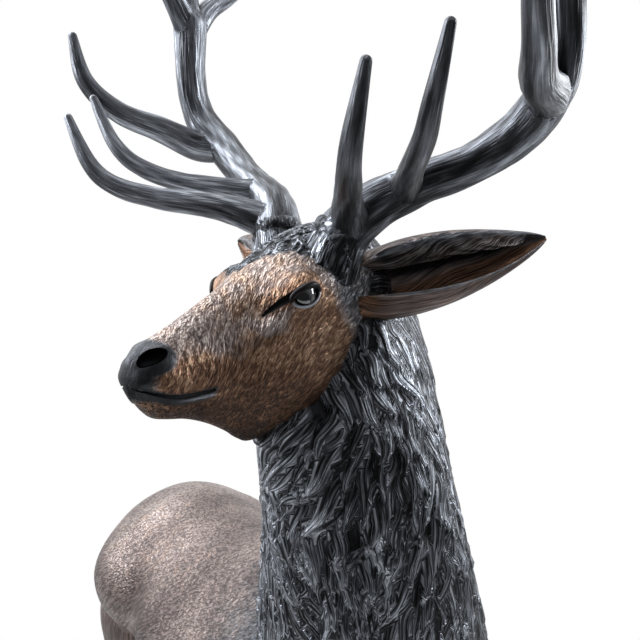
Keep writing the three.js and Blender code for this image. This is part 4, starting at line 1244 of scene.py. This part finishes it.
WELDS = [("head", "UNION"), ("skin", "UNION"), ("limbs", "UNION"), ("tines", "UNION"), ("crown", "UNION"),
         ("crown fork", "UNION"), ("burrs", "UNION"), ("inner toes", "UNION"), ("outer toes", "UNION"),
         ("cut hollows", "DIFFERENCE"), ("cut slits", "DIFFERENCE"), ("cut mouth", "DIFFERENCE"),
         ("eyes", "UNION"), ("upper lids", "UNION"), ("lower lids", "UNION")]
for member in shells:
    if member["name"] in ("trunk", "head"):
        member["kind"] = member["name"]
casting = as_object("stag_casting", [m for m in shells if m["kind"] == "trunk"])
tools = []
for kind, operation in WELDS:
    tool = as_object(kind, [m for m in shells if m["kind"] == kind])
    weld = casting.modifiers.new(kind, "BOOLEAN")
    weld.operation = operation
    weld.solver = "MANIFOLD"
    weld.object = tool
    tools.append(tool)
bpy.context.view_layer.update()
graph = bpy.context.evaluated_depsgraph_get()
welded = bpy.data.meshes.new_from_object(casting.evaluated_get(graph), depsgraph=graph)
casting.modifiers.clear()
casting.data = welded
for tool in tools:
    bpy.data.objects.remove(tool)
print("welded:", len(welded.vertices), "points,", len(welded.polygons), "faces")

# %% Reading the weld


def read(mesh, name, width=3):
    """The notes of one name, as rows of three numbers or, with width 1, as single numbers."""
    values = np.empty(len(mesh.vertices) * width, np.float32)
    key = "vector" if width == 3 else "value"
    mesh.attributes[name].data.foreach_get(key, values)
    return values.reshape(-1, 3).astype(float) if width == 3 else values.astype(float)


places = np.empty(len(welded.vertices) * 3, np.float32)
welded.vertices.foreach_get("co", places)
places = places.reshape(-1, 3).astype(float)
edges = np.empty(len(welded.edges) * 2, np.int32)
welded.edges.foreach_get("vertices", edges)
edges = edges.reshape(-1, 2)
both = np.concatenate([edges, edges[:, ::-1]])
home = read(welded, "home")
stray = np.linalg.norm(home - places, axis=-1) > 2e-4
print("new points along the welds:", int(stray.sum()))


def mean_of_neighbours(values, weight=None):
    """For every point, the mean of a value over the points that share an edge with it."""
    w = np.ones(len(both)) if weight is None else weight[both[:, 1]]
    bottom = np.maximum(np.bincount(both[:, 0], w, minlength=len(places)), 1e-9)
    return np.stack([np.bincount(both[:, 0], w * values[both[:, 1], axis], minlength=len(places))
                     for axis in range(values.shape[1])], -1) / bottom[:, None]


# points made by the weld have no true notes, so they take the mean of neighbours that have
notes = np.concatenate([read(welded, "grain"), read(welded, "coat"), read(welded, "shell", 1)[:, None]], 1)
known = ~stray
for _ in range(4):
    reach = np.bincount(both[:, 0], known[both[:, 1]], minlength=len(places)) > 0
    filled = mean_of_neighbours(notes, known.astype(float))
    take = ~known & reach
    notes[take] = filled[take]
    known |= take
number = np.round(notes[:, 6])
number[stray] = -1

# %% Chasing the welds
# A weld between two shells is smoothed over the smaller of their two widths: wide where a leg leaves
# the body, narrow at a lock's tip.
melts = np.array([MELT[n] for n in range(len(MELT))] + [0.0])
low, high = np.full(len(places), 1e9), np.full(len(places), -1e9)
for values, keep, change in ((low, np.minimum, 1e9), (high, np.maximum, -1e9)):
    source = np.where(number >= 0, number, change)
    keep.at(values, both[:, 0], source[both[:, 1]])
    keep.at(values, np.arange(len(places)), source)
weld_line = (low < 1e8) & (high > -1e8) & (low != high)
first, second = np.clip(low, 0, len(MELT)).astype(int), np.clip(high, 0, len(MELT)).astype(int)
left = np.where(weld_line, np.minimum(melts[first], melts[second]), 0) * 0.001
span = np.linalg.norm(places[both[:, 0]] - places[both[:, 1]], axis=-1)
for _ in range(26):
    np.maximum.at(left, both[:, 0], left[both[:, 1]] - span)
softness = smoothstep(left, 0, 0.012)[:, None]
wide = 0.5 * softness * (softness > 0.3)
for _ in range(24):
    places = lerp(places, mean_of_neighbours(places), 0.5 * softness)
    notes[:, 3:6] = lerp(notes[:, 3:6], mean_of_neighbours(notes[:, 3:6]), wide)
for _ in range(3):
    notes[:, 3:6] = lerp(notes[:, 3:6], mean_of_neighbours(notes[:, 3:6]), 0.5 * np.clip(softness * 3, 0, 1))
welded.vertices.foreach_set("co", places.astype(np.float32).ravel())
welded.attributes["grain"].data.foreach_set("vector", notes[:, :3].astype(np.float32).ravel())
welded.attributes["coat"].data.foreach_set("vector", notes[:, 3:6].astype(np.float32).ravel())
for name in ("home", "shell"):
    welded.attributes.remove(welded.attributes[name])
welded.polygons.foreach_set("use_smooth", np.ones(len(welded.polygons), bool))
welded.update()
welded.set_sharp_from_angle(angle=math.radians(62))
triangles = sum(len(face.vertices) - 2 for face in welded.polygons)
print("casting:", triangles, "triangles")

# %% [markdown]
# ## Patina
# Brown, tone and hair come from the points' coat. Low tone is the black that settles in hollows, and it
# also stands for painted shade in creases, cuts and under the jaw; high tone is the blue-grey of waxed and
# handled ridges, and also a painted highlight where the sky would catch them. Brown is the warm ferric
# colour of the face. The hair's strands are noise drawn out along the grain, both as colour and as bump.

# %% Patinated bronze
bronze = Finish("patinated_bronze")
coat = bronze.node("ShaderNodeAttribute", {"attribute_name": "coat"}, output="Vector")
grain = bronze.node("ShaderNodeAttribute", {"attribute_name": "grain"}, output="Vector")
parts = {name: bronze.node("ShaderNodeSeparateXYZ", None, {"Vector": coat}, output=name) for name in "XYZ"}
brown, tone, hair = parts["X"], parts["Y"], parts["Z"]
object_place = bronze.node("ShaderNodeTexCoord", output="Object")
cloud = bronze.noise(object_place, 7.0, 3.0, 0.6)
mottle = bronze.noise(object_place, 46.0, 3.0, 0.6)
pores = bronze.noise(object_place, 420.0, 2.0, 0.6)
strand = bronze.fade(bronze.noise(bronze.stretched(grain, (0.19, 0.19, 0.014)), 1.0, 1.0, 0.5), 0.36, 0.64)
thread = bronze.fade(bronze.noise(bronze.stretched(grain, (0.42, 0.42, 0.03)), 1.0, 1.0, 0.5), 0.36, 0.64)
across = bronze.node("ShaderNodeSeparateXYZ", None, {"Vector": grain}, output="X")
combing = bronze.fade(hair, 0.72, 0.95)
teeth = bronze.node("ShaderNodeMath", {"operation": "SINE"}, {0: 1.05 * across + 3.0 * strand})
# the combed grooves are painted darker: patina and painted shade between the strands
groove = bronze.fade(teeth, -0.9, 0.1, 1, 0) * combing
lift = (tone + hair * (0.42 * (strand - 0.5) + 0.36 * (thread - 0.5)) - 0.34 * groove
        + 0.55 * (cloud - 0.5) + 0.22 * (mottle - 0.5))
# each ramp runs from the black of the hollows to a pale top: the rubbed ridges' colour and a painted
# highlight
dark = bronze.ramp(lift, (0.0, (0.004, 0.004, 0.0048)), (0.3, (0.020, 0.0208, 0.0238)),
                   (0.6, (0.095, 0.100, 0.113)), (1.0, (0.38, 0.40, 0.44)))
warm = bronze.ramp(lift, (0.0, (0.008, 0.0036, 0.0022)), (0.34, (0.048, 0.0235, 0.0135)),
                   (0.62, (0.165, 0.086, 0.050)), (1.0, (0.52, 0.36, 0.24)))
taupe = bronze.ramp(lift, (0.0, (0.010, 0.0075, 0.007)), (0.34, (0.062, 0.046, 0.042)),
                    (0.62, (0.19, 0.148, 0.134)), (1.0, (0.52, 0.45, 0.41)))
colour = bronze.mix(bronze.fade(brown + 0.5 * (mottle - 0.5), 0.04, 0.42), dark, taupe)
colour = bronze.mix(bronze.fade(brown + 0.7 * (mottle - 0.5) + 0.4 * (cloud - 0.5), 0.42, 0.78), colour, warm)
gloss = bronze.fade(hair, -0.2, -0.7)
bronze.set(
    Base_Color=bronze.mix(gloss, colour, (0.002, 0.002, 0.0025, 1)),
    Roughness=bronze.fade(lift, 0.0, 1.0, 0.52, 0.38) * (1 - gloss) + 0.05 * gloss,
    Coat_Weight=0.04 + 0.96 * gloss,
    Metallic=0.8 * (1 - gloss),
)
bronze.shader.inputs["Coat Roughness"].default_value = 0.08
relief_height = (hair * (0.5 * strand + 0.3 * thread) - 0.35 * groove
                 + 0.10 * mottle + 0.02 * pores) * (1 - gloss)
bump = bronze.node("ShaderNodeBump", None, {"Height": relief_height, "Distance": 0.003, "Strength": 1.0})
bronze.set(Normal=bump)
casting.data.materials.clear()
casting.data.materials.append(bronze.material)
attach(casting, "root")
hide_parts("stag")
print("the casting wears", bronze.material.name)

# %% [markdown]
# ## The base
# The base is a plain slab under the hooves, so its shape stays as it was packed and it only gets a
# finish: the same dark bronze, rougher and without wax, with soft clods as if it were cast from earth.

# %% Base
ground = Finish("base_bronze")
object_place = ground.node("ShaderNodeTexCoord", output="Object")
clods = ground.noise(object_place, 14.0, 5.0, 0.6)
grit = ground.noise(object_place, 160.0, 3.0, 0.6)
ground.set(
    Base_Color=ground.ramp(clods + 0.3 * (grit - 0.5), (0.25, (0.006, 0.006, 0.0065)),
                           (0.5, (0.022, 0.021, 0.021)), (0.75, (0.06, 0.056, 0.052))),
    Metallic=0.35,
    Roughness=ground.fade(grit, 0.3, 0.7, 0.42, 0.6),
    Normal=ground.node("ShaderNodeBump", None,
                       {"Height": clods + 0.15 * grit, "Distance": 0.004, "Strength": 0.8}),
)
for slot in bpy.data.objects["base"].material_slots:
    slot.material = ground.material
print("the base wears", ground.material.name)
